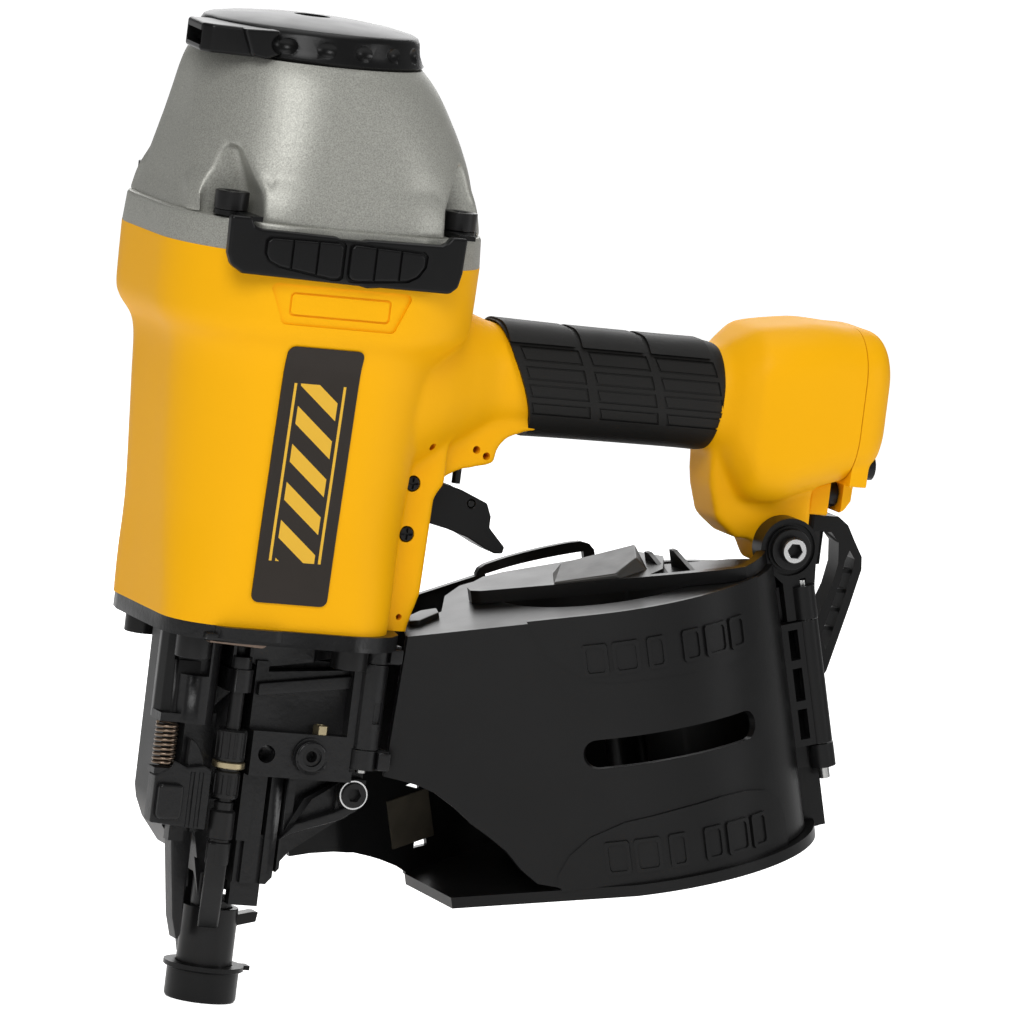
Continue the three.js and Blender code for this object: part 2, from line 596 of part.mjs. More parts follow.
function frontGuard() {
  const profile = [[-16.5, 132.6], [-29.8, 132.6], [-29.5, 73], [-28.5, 68.5], [-25.5, 62], [-22, 57.7],
    [-18.5, 53.5], [-16.5, 53.5]];
  return cut(slab(profile, -11, 12), slab(profile.map(([x, z]) => [x + 3, z + 3]), -12, 9.5),
    post(0, 0, 124.5, 134, 17.4, 21.4));
}

function contactFoot() {
  const sleeve = tube(0, 0, 1.2, 33.5, 10, 7.9, 24);
  const ear = slab([[9, 27], [16.5, 29], [17, 32.5], [15, 32.5], [9, 31]], -3, 3);
  return join(sleeve, cut(ear, post(0, 0, 0, 40, 8.9, 8.9, 24)));
}

function footCap() {
  const cup = turned([
    [8.4, 0], [12.2, 0], [12.8, 1], [12.8, 10.6], [14.3, 11.4], [14.3, 13], [10.3, 13], [10.3, 1],
    [8.4, 1], [8.4, 0],
  ], 0, 24);
  const tab = cut(block(10, 16.5, -2.5, 2.5, 11.4, 13), post(0, 0, 0, 20, 11, 11, 24));
  return join(cup, tab);
}

function tripArm() {
  const lower = slab([[-6, 14.5], [6, 14.5], [4, 40], [0, 60], [0, 99], [56, 103], [62, 110], [62, 167],
    [58.5, 167], [58.5, 118], [54, 114], [-6, 114], [-14, 108], [-15, 54]], 10.4, 13.2);
  const ledge = block(-14, -3, 13, 23, 82, 85);
  return join(lower, ledge);
}

function tripRod() {
  const stack = join(post(TRIP_X, TRIP_Y, 34, 58, 3.4, 3.4, 16), post(TRIP_X, TRIP_Y, 57, 66, 4.2),
    post(TRIP_X, TRIP_Y, 66, 74, 4.4), post(TRIP_X, TRIP_Y, 73, 122.5, 2.6, 2.6, 16));
  const foot = slab([[-12, 26], [-4, 26], [-4, 33], [-12, 36]], TRIP_Y - 2, -8.2);
  return join(stack, cut(foot, post(0, 0, 20, 45, 10.3, 10.3, 24)));
}

function depthAdjuster() {
  const barrel = post(TRIP_X, TRIP_Y, 84, 100, 5.4, 5.4, 12);
  const waist = tube(TRIP_X, TRIP_Y, 88, 90.5, 7, 4.7);
  const hole = post(TRIP_X, TRIP_Y, 80, 104, 2.9, 2.9, 16);
  return cut(barrel, waist, hole);
}

function noseDoor() {
  const plateBody = slab([[0.8, 124.5], [34, 124.5], [34, 112], [46.6, 97], [46.6, 80], [36, 70], [24, 58],
    [13, 44.5], [0.8, 44.5]], -11.5, -5.9);
  const skirt = cut(block(0.8, 11.6, -15.5, -5.9, 36.5, 62), post(0, 0, 30, 46, 11.5, 11.5, 24));
  const topRib = slab([[0, 120], [34.5, 123], [34.5, 117], [0, 112]], -19, -11);
  const leftRib = block(-0.6, 4, -19, -11, 60, 124);
  const bar = block(-0.8, HINGE_X - 4, -24.5, -11, 84, 100);
  const ribs = [[4, 7], [11, 14], [18, 21]].map(([x0, x1]) => block(x0, x1, -14.5, -11, 58, 84.5));
  const leaf = slab([[16, 60], [40, 70], [46.4, 76], [46.4, 84], [38, 84.5], [24, 76]], -16, -11);
  const pocket = slab([[21, 66], [36, 72], [36, 82], [27, 76]], -17, -14);
  const knuckle = join(post(HINGE_X, HINGE_Y, 96.4, 126.6, 5.4), block(34, HINGE_X, -24.5, -11, 97, 124));
  const pinHole = post(HINGE_X, HINGE_Y, 80, 133, 2.3, 2.3, 12);
  const sight = barY(5, -30, 0, 92, 3.2);
  const bushHole = barY(21, -30, -18, 92, 3.4, 16);
  const boss = barY(21, -27, -20, 92, 6, 24);
  const boltHole = barY(41, -30, 0, 79, 2.5, 12);
  const nibs = block(35, HINGE_X + 8, -19, -5.9, 89, 96.3);
  const solidDoor = join(plateBody, skirt, topRib, leftRib, bar, ...ribs, leaf, knuckle, boss);
  return cut(solidDoor, pocket, pinHole, sight, bushHole, boltHole, nibs,
    post(HINGE_X, HINGE_Y, 88, 96.3, 5.8));
}

function doorBolt() {
  const head = join(barY(41, -20.5, -16.2, 79, 4.6), barY(41, -17.2, -16.2, 79, 5.4));
  const shank = barY(41, -16.4, -6.4, 79, 2.2, 12);
  return cut(join(head, shank), barY(41, -22, -18, 79, 2.5, 6));
}

function doorLatch() {
  const body = slab([[-33, 84.5], [-33, 72], [-14.6, 70], [-14.6, 90.5], [-19, 91.5], [-24.6, 84.5]], -27, -17.8);
  const thumb = slab([[-30.5, 72], [-21, 71.5], [-21, 83], [-30.5, 83.4]], -30, -26.5);
  const hook = join(block(-15, -3.2, -19, -17.8, 74, 79), block(-36, -30, -25, -17.8, 83, 84.5));
  return join(body, thumb, hook);
}

function addNose() {
  add('nose_casting', noseCasting(), casting);
  boltPoints().forEach(([x, y], i) => {
    add(`nose_bolt_${i + 1}`, capScrew(x, y, 132.8, -1, 6.5, 8, 3, 18), blackSteel);
  });
  add('front_guard', frontGuard(), plastic);
  add('contact_foot', contactFoot(), blackSteel);
  add('foot_cap', footCap(), plastic);
  add('trip_arm', tripArm(), blackSteel);
  add('trip_rod', tripRod(), blackSteel);
  add('trip_spring', spring(-8.5, 18.3, 85.2, 132.7, 4, 0.8, 8), steel);
  add('depth_adjuster', depthAdjuster(), blackSteel);
  add('nose_door', noseDoor(), casting);
  add('door_bolt', doorBolt(), blackSteel);
  add('door_hinge_pin', post(HINGE_X, HINGE_Y, 87.5, 132.6, 2, 2, 12), steel);
  add('door_latch', doorLatch(), casting);
  add('latch_spring', spring(-31, -20, 84.8, 100.6, 4, 0.8, 6), steel);
  const cylinder = cut(barX(24, 45, 24, 88, 9), barX(25, 42, 24, 88, 6.5), barX(20, 30, 24, 88, 3.3, 3.3, 12));
  add('feed_cylinder', cylinder, alloy);
  add('feed_piston', join(barX(26.5, 31, 24, 88, 6.2), barX(13.8, 28, 24, 88, 2.8, 2.8, 12)), steel);
  add('feed_pawl', slab([[7, 83.5], [13.5, 83.5], [13.5, 92.5], [9, 92.5]], 1.5, 27), blackSteel);
}

addNose();

// Magazine, in its own tilted frame: X along the handle side, Y across, Z up its axis from the floor.

function arcPoints(radius, from, to, count) {
  return [...Array(count + 1)].map((_, i) => {
    const angle = (from + (to - from) * i / count) * Math.PI / 180;
    return [radius * Math.cos(angle), radius * Math.sin(angle)];
  });
}

// A wall that follows a path in plan, with its outer face on the path and its thickness inwards.
function wall(outer, inner, z0, z1) {
  return plate([...outer, ...[...inner].reverse()], z0, z1);
}

// The plane x, in the tool's own millimetres, as a line in the magazine's frame at height h.
function alongPlane(x, h) {
  return (x - CAN_X + h * Math.sin(CAN_TILT)) / Math.cos(CAN_TILT);
}

function canisterCover() {
  const shell = wall(
    [[-102, -19.8], [-86, -27], ...arcPoints(CAN_R, -115, -26, 14)],
    [[-102, -17.2], [-86, -24.4], ...arcPoints(CAN_R - WALL, -115, -26, 14)], 0.4, CAN_H);
  const ring = wall(
    [[-30, 42], [-42, 38], [-57, 14], [-62, 2], [-80, -8], [-86, -27], ...arcPoints(CAN_R, -115, -26, 14)],
    arcPoints(40, 128, 334, 20), CAN_H - WALL, CAN_H);
  const nib = block(-79, -64, -12, 1, CAN_H - WALL, CAN_H + 2);
  const lowerLeft = slab([[-120, -5], [-45, -5], [-46.9, 1.2], [-53.8, 3.4], [-62.4, 16.1], [-72.2, 27],
    [-82.7, 39.6], [-94.4, 46.1], [-120, 56]], -70, 0);
  const noseSide = slab([[alongPlane(DOOR_END, -10), -10], [alongPlane(DOOR_END, 110), 110], [-140, 110],
    [-140, -10]], -70, 0);
  const slit = wall(arcPoints(70, -122, -60, 8), arcPoints(50, -122, -60, 8), 43, 53);
  const arm = block(50, PIN_A, PIN_B - 3.4, PIN_B + 0.6, 28.5, 73.5);
  const windows = [[31, 42], [45, 57], [60, 71]].map(([z0, z1]) => block(57.6, 61.2, -30, -10, z0, z1));
  const barrel = post(PIN_A, PIN_B, 28.5, 73.5, 4.4);
  const hingeEdge = wall(arcPoints(CAN_R, -28, -20.5, 2), arcPoints(CAN_R - WALL, -28, -20.5, 2), 28.5, 73.5);
  const pinHole = post(PIN_A, PIN_B, 20, 90, 2.3, 2.3, 12);
  const inside = post(0, 0, 3, CAN_H - WALL, CAN_R - 1, CAN_R - 1, 32);
  return cut(join(cut(join(shell, ring, nib), lowerLeft, noseSide, slit), cut(arm, inside, ...windows),
    hingeEdge, barrel), pinHole);
}

function canisterBase() {
  const floorPlan = [[-80, -22], ...arcPoints(CAN_R + 3.2, -112, 118, 30), [-80, 27]];
  const floor = cut(plate(floorPlan, -4, 0), block(-62, -20, -70, 0, -5, 1).intersect(
    plate([[-90, -40], [-50, -60], [-50, -90], [-90, -90]], -5, 1)));
  const outer = [...arcPoints(CAN_R, -17, 112, 22), [-104, 19], [-126, 17]];
  const inner = [...arcPoints(CAN_R - WALL, -17, 112, 22), [-104, 16.2], [-126, 14.2]];
  const farWall = wall(outer, inner, -0.5, CAN_H);
  const lowerCut = slab([[-130, -10], [-79.5, -10], [-79.5, 0.5], [-86, 5.5], [-94, 10.2], [-101, 13.6],
    [-109, 15.8], [-118, 17.2], [-130, 18]], 5, 60);
  const noseRoom = slab([[-160, 54.3], [-101.6, 38.6], [-72.1, 147.7], [-130, 163]], 5, 60);
  const windows = [[28, 31], [7.5, 12]].map(([z0, z1]) => block(-74.6, -68.6, 10, 50, z0, z1));
  const bailRoom = block(-27.5, 12.5, 30, 70, BAIL_FOOT, BAIL_TOP - 4);
  const lowRim = block(16, 70, 4, 70, 90, CAN_H + 1);
  const bail = wall(outer, inner, BAIL_FOOT, BAIL_TOP).intersect(slab([[-31, BAIL_FOOT], [-31, BAIL_TOP - 2.5],
    [-29, BAIL_TOP - 0.8], [10, BAIL_TOP], [14, BAIL_TOP - 0.8], [16, BAIL_TOP - 3], [16, BAIL_FOOT]], 30, 70));
  const spindle = post(0, 0, -0.5, 70, 8, 6.5, 20);
  const stubPlan = [[55, -16.8], [57, -9], [67, -9], [70, -20], [67, -24], [63, -18]];
  const stub = (z0, z1) => join(post(PIN_A, PIN_B, z0, z1, 4.6), plate(stubPlan, z0, z1));
  const rearRib = cut(block(56, 66, -15, -10, -3, 96), post(0, 0, 1, 100, CAN_R - WALL, CAN_R - WALL, 32));
  const lowerBlock = plate([[54, -15.5], [63, -15.5], [63, -8], [56, -8]], -3, 24);
  const rim = cut(join(cut(farWall, lowRim), bail), lowerCut, noseRoom, bailRoom);
  const shell = cut(join(floor, rim, rearRib, lowerBlock), ...windows);
  const legRoom = block(50, 75, -12.8, 14, 85, 110);
  const pinHole = post(PIN_A, PIN_B, 10, 88.6, 2.3, 2.3, 10);
  return cut(join(shell, spindle, stub(19.5, 28), stub(74, 86), hangerArm()), legRoom, pinHole);
}

// The arm that carries the magazine from the handle's hanger leg.
function hangerArm() {
  const [a, h] = hangerEye();
  const web = slab([[58.4, 74], [69, 74], [71.5, h], [a - 10, h], [58.4, 90]], -22, -13.2);
  const ring = barY(a, -22, -13.2, h, 11, 24);
  return cut(join(web, ring), barY(a, -30, 0, h, 4.4, 12));
}

// The hanger bolt's centre, in the magazine's frame.
function hangerEye() {
  const x = EYE_X - CAN_X;
  const z = EYE_Z - CAN_Z;
  const cos = Math.cos(CAN_TILT);
  const sin = Math.sin(CAN_TILT);
  return [x * cos + z * sin, z * cos - x * sin];
}

function canisterLid() {
  const nearEdge = [[-47, 0], [-17, -17.3], [6.7, -30.8], [28.5, -43], [36.5, -45.2],
    ...arcPoints(CAN_R - 2, -48, -25, 5)];
  const nearInner = [[-45, 3], [-15.5, -14], [8.2, -27.5], [29.5, -39], [35.5, -41],
    ...arcPoints(CAN_R - 5.5, -48, -25, 5)];
  const band = wall(nearEdge, nearInner, CAN_H + GAP, LID_TOP);
  const deckPlan = [[-47, 0], [-17, -17.3], [4, -29.3], [14, -22], [22, -2], [18, 14.6], [0, 20], [-30, 24],
    [-42, 19], [-49, 10], [-50, 4]];
  const deck = plate(deckPlan, CAN_H + GAP, LID_TOP);
  const shelf = plate([[4, -29], [28, -42], [44, -36], [50, -23], [42, -14], [22, -2]], CAN_H + GAP, CAN_H + 2);
  const flap = slab([[-21, LID_TOP - 1], [12, LID_TOP - 1], [15, LID_TOP + 3.6], [10, LID_TOP + 4.4],
    [-14, LID_TOP + 3], [-20, LID_TOP + 1]], -20, 4);
  const rib = (x, y0, y1) => block(x, x + 1.6, y0, y1, CAN_H + 1, LID_TOP + 2.5);
  return join(band, deck, shelf, flap, rib(16, -24, -8), rib(24, -33, -10));
}

function nailPlatform() {
  const disc = join(post(0, 0, 8, 11, 46, 46, 40), post(0, 0, 8, 20, 13, 12, 24));
  return cut(disc, post(0, 0, 0, 60, 8.6, 8.6, 20));
}

function addMagazine() {
  add('canister_base', canisterBase(), plastic, magazine);
  add('canister_cover', canisterCover(), plastic, magazine);
  add('canister_lid', canisterLid(), plastic, magazine);
  add('nail_platform', nailPlatform(), plastic, magazine);
  add('cover_hinge_pin', post(PIN_A, PIN_B, 15, 88, 2, 2, 12), steel, magazine);
  const bolt = cut(join(barY(EYE_X, -27, -22.3, EYE_Z, 4.8), barY(EYE_X, -24, -22.3, EYE_Z, 7.4),
    barY(EYE_X, -22.5, 12, EYE_Z, 4, 12)), barY(EYE_X, -29, -24.5, EYE_Z, 2.6, 6));
  add('hanger_bolt', bolt, blackSteel);
}

addMagazine();

// Rafter hook and its pivot pin, behind the magazine.

function rafterHook() {
  const outer = [[HOOK_X - 1, 189.6], [218, 189.9], [222.2, 187], [225.2, 182], [229, 176], [TOOL_END, 171.5],
    [226.7, 158.3], [221, 134], [218, 129], [214.5, 132], [213.5, 147], [216.3, 157.5], [218.8, 164.7],
    [220.2, 173], [219.4, 180.5], [216, 184], [HOOK_X - 1, 184]];
  const window = [[224, 178], [226.3, 175], [226.2, 171], [223.6, 158], [219.5, 141], [217.3, 147.5],
    [219.6, 157], [222.2, 168], [222.6, 174]];
  const loop = cut(slab(outer, HOOK_Y - 5, HOOK_Y + 5), slab(window, HOOK_Y - 10, HOOK_Y + 10));
  const ribs = [170.2, 163, 156.1, 149.2].map((z) => block(212, 228, HOOK_Y - 3, HOOK_Y + 3, z - 0.7, z + 0.7));
  const ladder = join(...ribs).intersect(slab(outer, HOOK_Y - 5, HOOK_Y + 5));
  const hub = post(HOOK_X, HOOK_Y, 172, 189.6, 4.8);
  return cut(join(loop, ladder, hub), post(HOOK_X, HOOK_Y, 120, 200, 2.1, 2.1, 10));
}

function addHook() {
  add('rafter_hook', rafterHook(), plastic);
  add('hook_pin', post(HOOK_X, HOOK_Y, 171, 193.3, 1.8, 1.8, 10), steel);
}

addHook();

export default root;
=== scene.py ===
"""Looks of the pneumatic coil nail gun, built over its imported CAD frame.

Shapes are drawn in millimetres about the driver axis, as the CAD is, and moved to the frame's
metres when they are placed.
"""

import json
import math

import bmesh
import bpy
import numpy as np
from mathutils import Matrix, Vector


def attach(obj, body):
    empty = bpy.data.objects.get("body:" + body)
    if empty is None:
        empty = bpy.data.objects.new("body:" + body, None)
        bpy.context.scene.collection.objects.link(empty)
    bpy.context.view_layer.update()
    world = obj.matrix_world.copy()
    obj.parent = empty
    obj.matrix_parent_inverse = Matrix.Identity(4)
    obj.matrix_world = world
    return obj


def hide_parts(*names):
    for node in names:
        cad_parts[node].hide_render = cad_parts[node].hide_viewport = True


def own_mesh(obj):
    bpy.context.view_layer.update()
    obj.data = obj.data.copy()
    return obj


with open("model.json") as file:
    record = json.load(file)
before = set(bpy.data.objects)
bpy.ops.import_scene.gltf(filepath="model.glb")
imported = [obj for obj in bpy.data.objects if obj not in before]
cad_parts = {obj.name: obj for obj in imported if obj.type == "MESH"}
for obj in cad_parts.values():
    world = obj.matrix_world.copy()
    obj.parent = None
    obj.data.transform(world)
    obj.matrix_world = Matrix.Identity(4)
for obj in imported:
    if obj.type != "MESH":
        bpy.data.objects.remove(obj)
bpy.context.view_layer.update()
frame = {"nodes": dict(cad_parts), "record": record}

# Driving dimensions, in millimetres
DRIVER_X = -87.0                  # the driver axis in the frame
NOSE_TOP = 138.5
PARTING = 270
CAP_TOP = 335.5
BODY_X = 1
HEAD_X = 3
HANDLE_Z = 229
CAP_SCREW = 42.3
TRIP_X = -8.5
TRIP_Y = -24
HINGE_X = 41.5
HINGE_Y = -22
CAN_X = 158.6
CAN_Z = 66.2
CAN_TILT = math.radians(15.1)
CAN_R = 60
CAN_H = 97
WALL = 2.6
PIN_A = 66
PIN_B = -20
BAIL_FOOT = 85
BAIL_TOP = 100.6
LID_TOP = 102
TANGENT = math.radians(-114.3)    # where the cover's round wall turns straight
EYE = (193, 179)                  # the hanger bolt, in x and z
TRIGGER_PIN = (53, 186)
SIDE_SCREWS = ((48, 191), (48, 173))
DOOR_BOLT = (41, 79)
DOOR_BUSH = (21, 92.5)
NOSE_BOLT_X = 29                  # the nose bolts, out from the body's middle
NOSE_BOLT_Y = 28
LATCH_X = -31
LATCH_Y = -20
BUMPER_IN = 58.3                  # the bumper bars' inner and outer faces, out from the middle
BUMPER_OUT = 62.5
CROWN_X = -3                      # the middle of the cap's flat top, and of the deflector

TO_FRAME = Matrix.Diagonal((0.001, 0.001, 0.001, 1)) @ Matrix.Translation((DRIVER_X, 0, 0))
TO_MM = TO_FRAME.inverted()
CAN = Matrix.Translation((CAN_X, 0, CAN_Z)) @ Matrix.Rotation(-CAN_TILT, 4, "Y")
SLOT_OF = {part["node"]: part["material_slot"] for part in frame["record"]["subparts"]}
BODY_OF = {node: body for body, nodes in frame["record"]["behaviour"]["bodies"].items() for node in nodes}
SPRINGS = ("head_valve_spring", "trip_spring", "latch_spring")
placed = set()                    # the CAD nodes that already have a finished piece
collection = bpy.context.scene.collection


# Mesh tools

def new_object(name, mesh):
    obj = bpy.data.objects.new(name, mesh)
    collection.objects.link(obj)
    return obj


def from_bmesh(name, bm):
    bmesh.ops.recalc_face_normals(bm, faces=bm.faces)
    mesh = bpy.data.meshes.new(name)
    bm.to_mesh(mesh)
    bm.free()
    return new_object(name, mesh)


def from_data(name, points, faces):
    mesh = bpy.data.meshes.new(name)
    mesh.from_pydata([tuple(p) for p in points], [], faces)
    mesh.update()
    bm = bmesh.new()
    bm.from_mesh(mesh)
    bpy.data.meshes.remove(mesh)
    return from_bmesh(name, bm)


def apply_modifiers(obj):
    bpy.context.view_layer.update()
    graph = bpy.context.evaluated_depsgraph_get()
    mesh = bpy.data.meshes.new_from_object(obj.evaluated_get(graph), depsgraph=graph)
    old = obj.data
    obj.modifiers.clear()
    obj.data = mesh
    bpy.data.meshes.remove(old)
    return obj


def boolean(obj, other, operation, keep=False):
    modifier = obj.modifiers.new("boolean", "BOOLEAN")
    modifier.operation = operation
    modifier.solver = "MANIFOLD"
    modifier.object = other
    apply_modifiers(obj)
    if not keep:
        bpy.data.objects.remove(other)
    return obj


def cut(obj, *others):
    for other in others:
        boolean(obj, other, "DIFFERENCE")
    return obj


def join(obj, *others):
    for other in others:
        boolean(obj, other, "UNION")
    return obj


def common(obj, other):
    return boolean(obj, other, "INTERSECT")


def remesh(obj, voxel):
    modifier = obj.modifiers.new("remesh", "REMESH")
    modifier.mode = "VOXEL"
    modifier.voxel_size = voxel * 1
    return apply_modifiers(obj)


def relax(obj, repeats, factor=0.5):
    modifier = obj.modifiers.new("smooth", "SMOOTH")
    modifier.iterations = repeats
    modifier.factor = factor
    return apply_modifiers(obj)


def bevel(obj, width, segments=2, angle=32):
    """Merges the flat faces of a solid and rounds its sharp edges."""
    bm = bmesh.new()
    bm.from_mesh(obj.data)
    bmesh.ops.remove_doubles(bm, verts=bm.verts, dist=0.002)
    bmesh.ops.dissolve_limit(bm, angle_limit=math.radians(1.2), verts=bm.verts, edges=bm.edges)
    bm.to_mesh(obj.data)
    bm.free()
    if width:
        modifier = obj.modifiers.new("bevel", "BEVEL")
        modifier.width = width
        modifier.segments = segments
        modifier.limit_method = "ANGLE"
        modifier.angle_limit = math.radians(angle)
        modifier.harden_normals = False
        apply_modifiers(obj)
    return obj


def smooth_shade(obj, angle=34):
    mesh = obj.data
    mesh.polygons.foreach_set("use_smooth", [True] * len(mesh.polygons))
    mesh.set_sharp_from_angle(angle=math.radians(angle))
    return obj


def even_normals(obj):
    """Lets the large faces set the shading, so small cuts don't smear it."""
    modifier = obj.modifiers.new("normals", "WEIGHTED_NORMAL")
    modifier.keep_sharp = True
    modifier.weight = 80
    return apply_modifiers(obj)


def dress(obj, material, angle, even=True):
    """Moves a finished piece from millimetres to the frame, and gives it its shading and material."""
    obj.data.transform(TO_FRAME)
    smooth_shade(obj, angle)
    if even:
        even_normals(obj)
    obj.data.materials.clear()
    obj.data.materials.append(MATERIALS[material])
    return obj


def place(obj, node, angle=34, material=None):
    """Hands a finished piece to its CAD body, in place of the CAD node's own mesh."""
    dress(obj, material or SLOT_OF[node], angle, node not in SPRINGS)
    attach(obj, BODY_OF[node])
    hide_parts(node)
    placed.add(node)
    return obj


def add_on(obj, node, material, angle=34):
    """A small extra piece that rides with a CAD node."""
    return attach(dress(obj, material, angle), BODY_OF[node])


def cad_copy(node, name=None):
    """A copy of a CAD piece, in millimetres about the driver axis."""
    mesh = frame["nodes"][node].data.copy()
    mesh.transform(TO_MM)
    obj = new_object(name or node + "_look", mesh)
    bm = bmesh.new()
    bm.from_mesh(mesh)
    bmesh.ops.remove_doubles(bm, verts=bm.verts, dist=0.002)
    bm.to_mesh(mesh)
    bm.free()
    return obj


# Solid primitives

def spot(axis, u, v, along):
    """A point across and along an axis: (x, y) across Z, (x, z) across Y and (y, z) across X."""
    return {"Z": (u, v, along), "Y": (u, along, v), "X": (along, u, v)}[axis]


def skin(name, rings):
    """A closed solid through rings of points, with a cap on each end."""
    count = len(rings[0])
    verts = [point for ring in rings for point in ring]
    faces = [list(range(count)), list(range(len(verts) - count, len(verts)))]
    for s in range(len(rings) - 1):
        for i in range(count):
            a, b = s * count + i, s * count + (i + 1) % count
            faces.append([a, b, b + count, a + count])
    return from_data(name, verts, faces)


def prism(name, points, low, high, axis="Z"):
    """A flat outline carried along an axis."""
    return skin(name, [[spot(axis, u, v, along) for u, v in points] for along in (low, high)])


def block(x0, x1, y0, y1, z0, z1, name="block"):
    return prism(name, [(x0, y0), (x1, y0), (x1, y1), (x0, y1)], z0, z1)


def round_bar(centre, low, high, r0, r1=None, axis="Z", sides=48, name="bar"):
    """A round bar along an axis, tapered when its second radius differs."""
    turns = [(math.cos(2 * math.pi * i / sides), math.sin(2 * math.pi * i / sides)) for i in range(sides)]
    ends = (low, r0), (high, r0 if r1 is None else r1)
    return skin(name, [[spot(axis, centre[0] + r * c, centre[1] + r * s, along) for c, s in turns]
                       for along, r in ends])


def cross_bar(centre, low, high, radius, sides=48):
    """A round bar along Y, about a centre in x and z."""
    return round_bar(centre, low, high, radius, axis="Y", sides=sides)


def lathe(name, profile, x=0, y=0, sides=96):
    """A closed profile of (radius, z) turned about the vertical line through x, y."""
    count = len(profile)
    verts = []
    for k in range(sides):
        angle = 2 * math.pi * k / sides
        verts += [(x + r * math.cos(angle), y + r * math.sin(angle), z) for r, z in profile]
    faces = []
    for k in range(sides):
        a, b = k * count, (k + 1) % sides * count
        faces += [[a + i, b + i, b + (i + 1) % count, a + (i + 1) % count] for i in range(count)]
    obj = from_data(name, verts, faces)
    bm = bmesh.new()
    bm.from_mesh(obj.data)
    bmesh.ops.remove_doubles(bm, verts=bm.verts, dist=0.001)
    bmesh.ops.dissolve_degenerate(bm, dist=0.0005, edges=bm.edges)
    bmesh.ops.recalc_face_normals(bm, faces=bm.faces)
    bm.to_mesh(obj.data)
    bm.free()
    return obj


def rounded_loop(cu, cv, au, av, radius, per_corner=12):
    """Points of a rounded rectangle, counterclockwise from its +u side."""
    loop = []
    for su, sv, start in ((1, 1, 0), (-1, 1, 90), (-1, -1, 180), (1, -1, 270)):
        for i in range(per_corner):
            angle = math.radians(start + 90 * i / (per_corner - 1))
            loop.append((cu + su * (au - radius) + radius * math.cos(angle),
                         cv + sv * (av - radius) + radius * math.sin(angle)))
    return loop


def smooth_rows(rows, steps):
    """Rows of numbers, keyed by their first one, filled in with a curve that doesn't overshoot."""
    table = np.array(rows, float)
    at = table[:, 0]
    slope = np.diff(table[:, 1:], axis=0) / np.diff(at)[:, None]
    tangent = np.zeros_like(table[:, 1:])
    tangent[0], tangent[-1] = slope[0], slope[-1]
    before, after = slope[:-1], slope[1:]
    same = before * after > 0
    total = np.where(same, before + after, 1)
    tangent[1:-1] = np.where(same, 2 * before * after / total, 0)
    filled = []
    for i in range(len(at) - 1):
        width = at[i + 1] - at[i]
        for k in range(steps):
            t = k / steps
            a, b = 2 * t**3 - 3 * t**2 + 1, t**3 - 2 * t**2 + t
            c, d = -2 * t**3 + 3 * t**2, t**3 - t**2
            row = a * table[i, 1:] + b * width * tangent[i]
            row = row + c * table[i + 1, 1:] + d * width * tangent[i + 1]
            filled.append([at[i] + t * width, *row])
    filled.append(list(table[-1]))
    return filled


def loft(name, rows, axis="Z", steps=6, per_corner=12, straight=False):
    """A skin through rounded rectangles; each row is (at, centre u, centre v, half u, half v, radius)."""
    rings = []
    for at, cu, cv, au, av, radius in rows if straight else smooth_rows(rows, steps):
        loop = rounded_loop(cu, cv, au, av, min(radius, au - 0.01, av - 0.01), per_corner)
        rings.append([(u, v, at) if axis == "Z" else (at, u, v) for u, v in loop])
    return skin(name, rings)


def coil(name, x, y, z0, z1, radius, wire, turns, per_turn=28, sides=12):
    """A compression spring with its end turns closed up."""
    steps = int((turns + 2) * per_turn)
    closed = 2.1 * wire
    low, high = z0 + wire + closed, z1 - wire - closed
    rings = []
    for s in range(steps + 1):
        turn = s / per_turn
        if turn < 1:
            z = z0 + wire + closed * turn
        elif turn > turns + 1:
            z = z1 - wire - closed * (turns + 2 - turn)
        else:
            z = low + (high - low) * (turn - 1) / turns
        angle = 2 * math.pi * turn
        out = Vector((math.cos(angle), math.sin(angle), 0))
        around = [2 * math.pi * k / sides for k in range(sides)]
        rings.append([Vector((x, y, z + wire * math.sin(a))) + out * (radius + wire * math.cos(a))
                      for a in around])
    return skin(name, rings)


def wrap_arc(radius, start, end, count):
    return [(radius * math.cos(math.radians(start + (end - start) * i / count)),
             radius * math.sin(math.radians(start + (end - start) * i / count))) for i in range(count + 1)]


def in_can(obj):
    obj.data.transform(CAN)
    return obj


# Materials

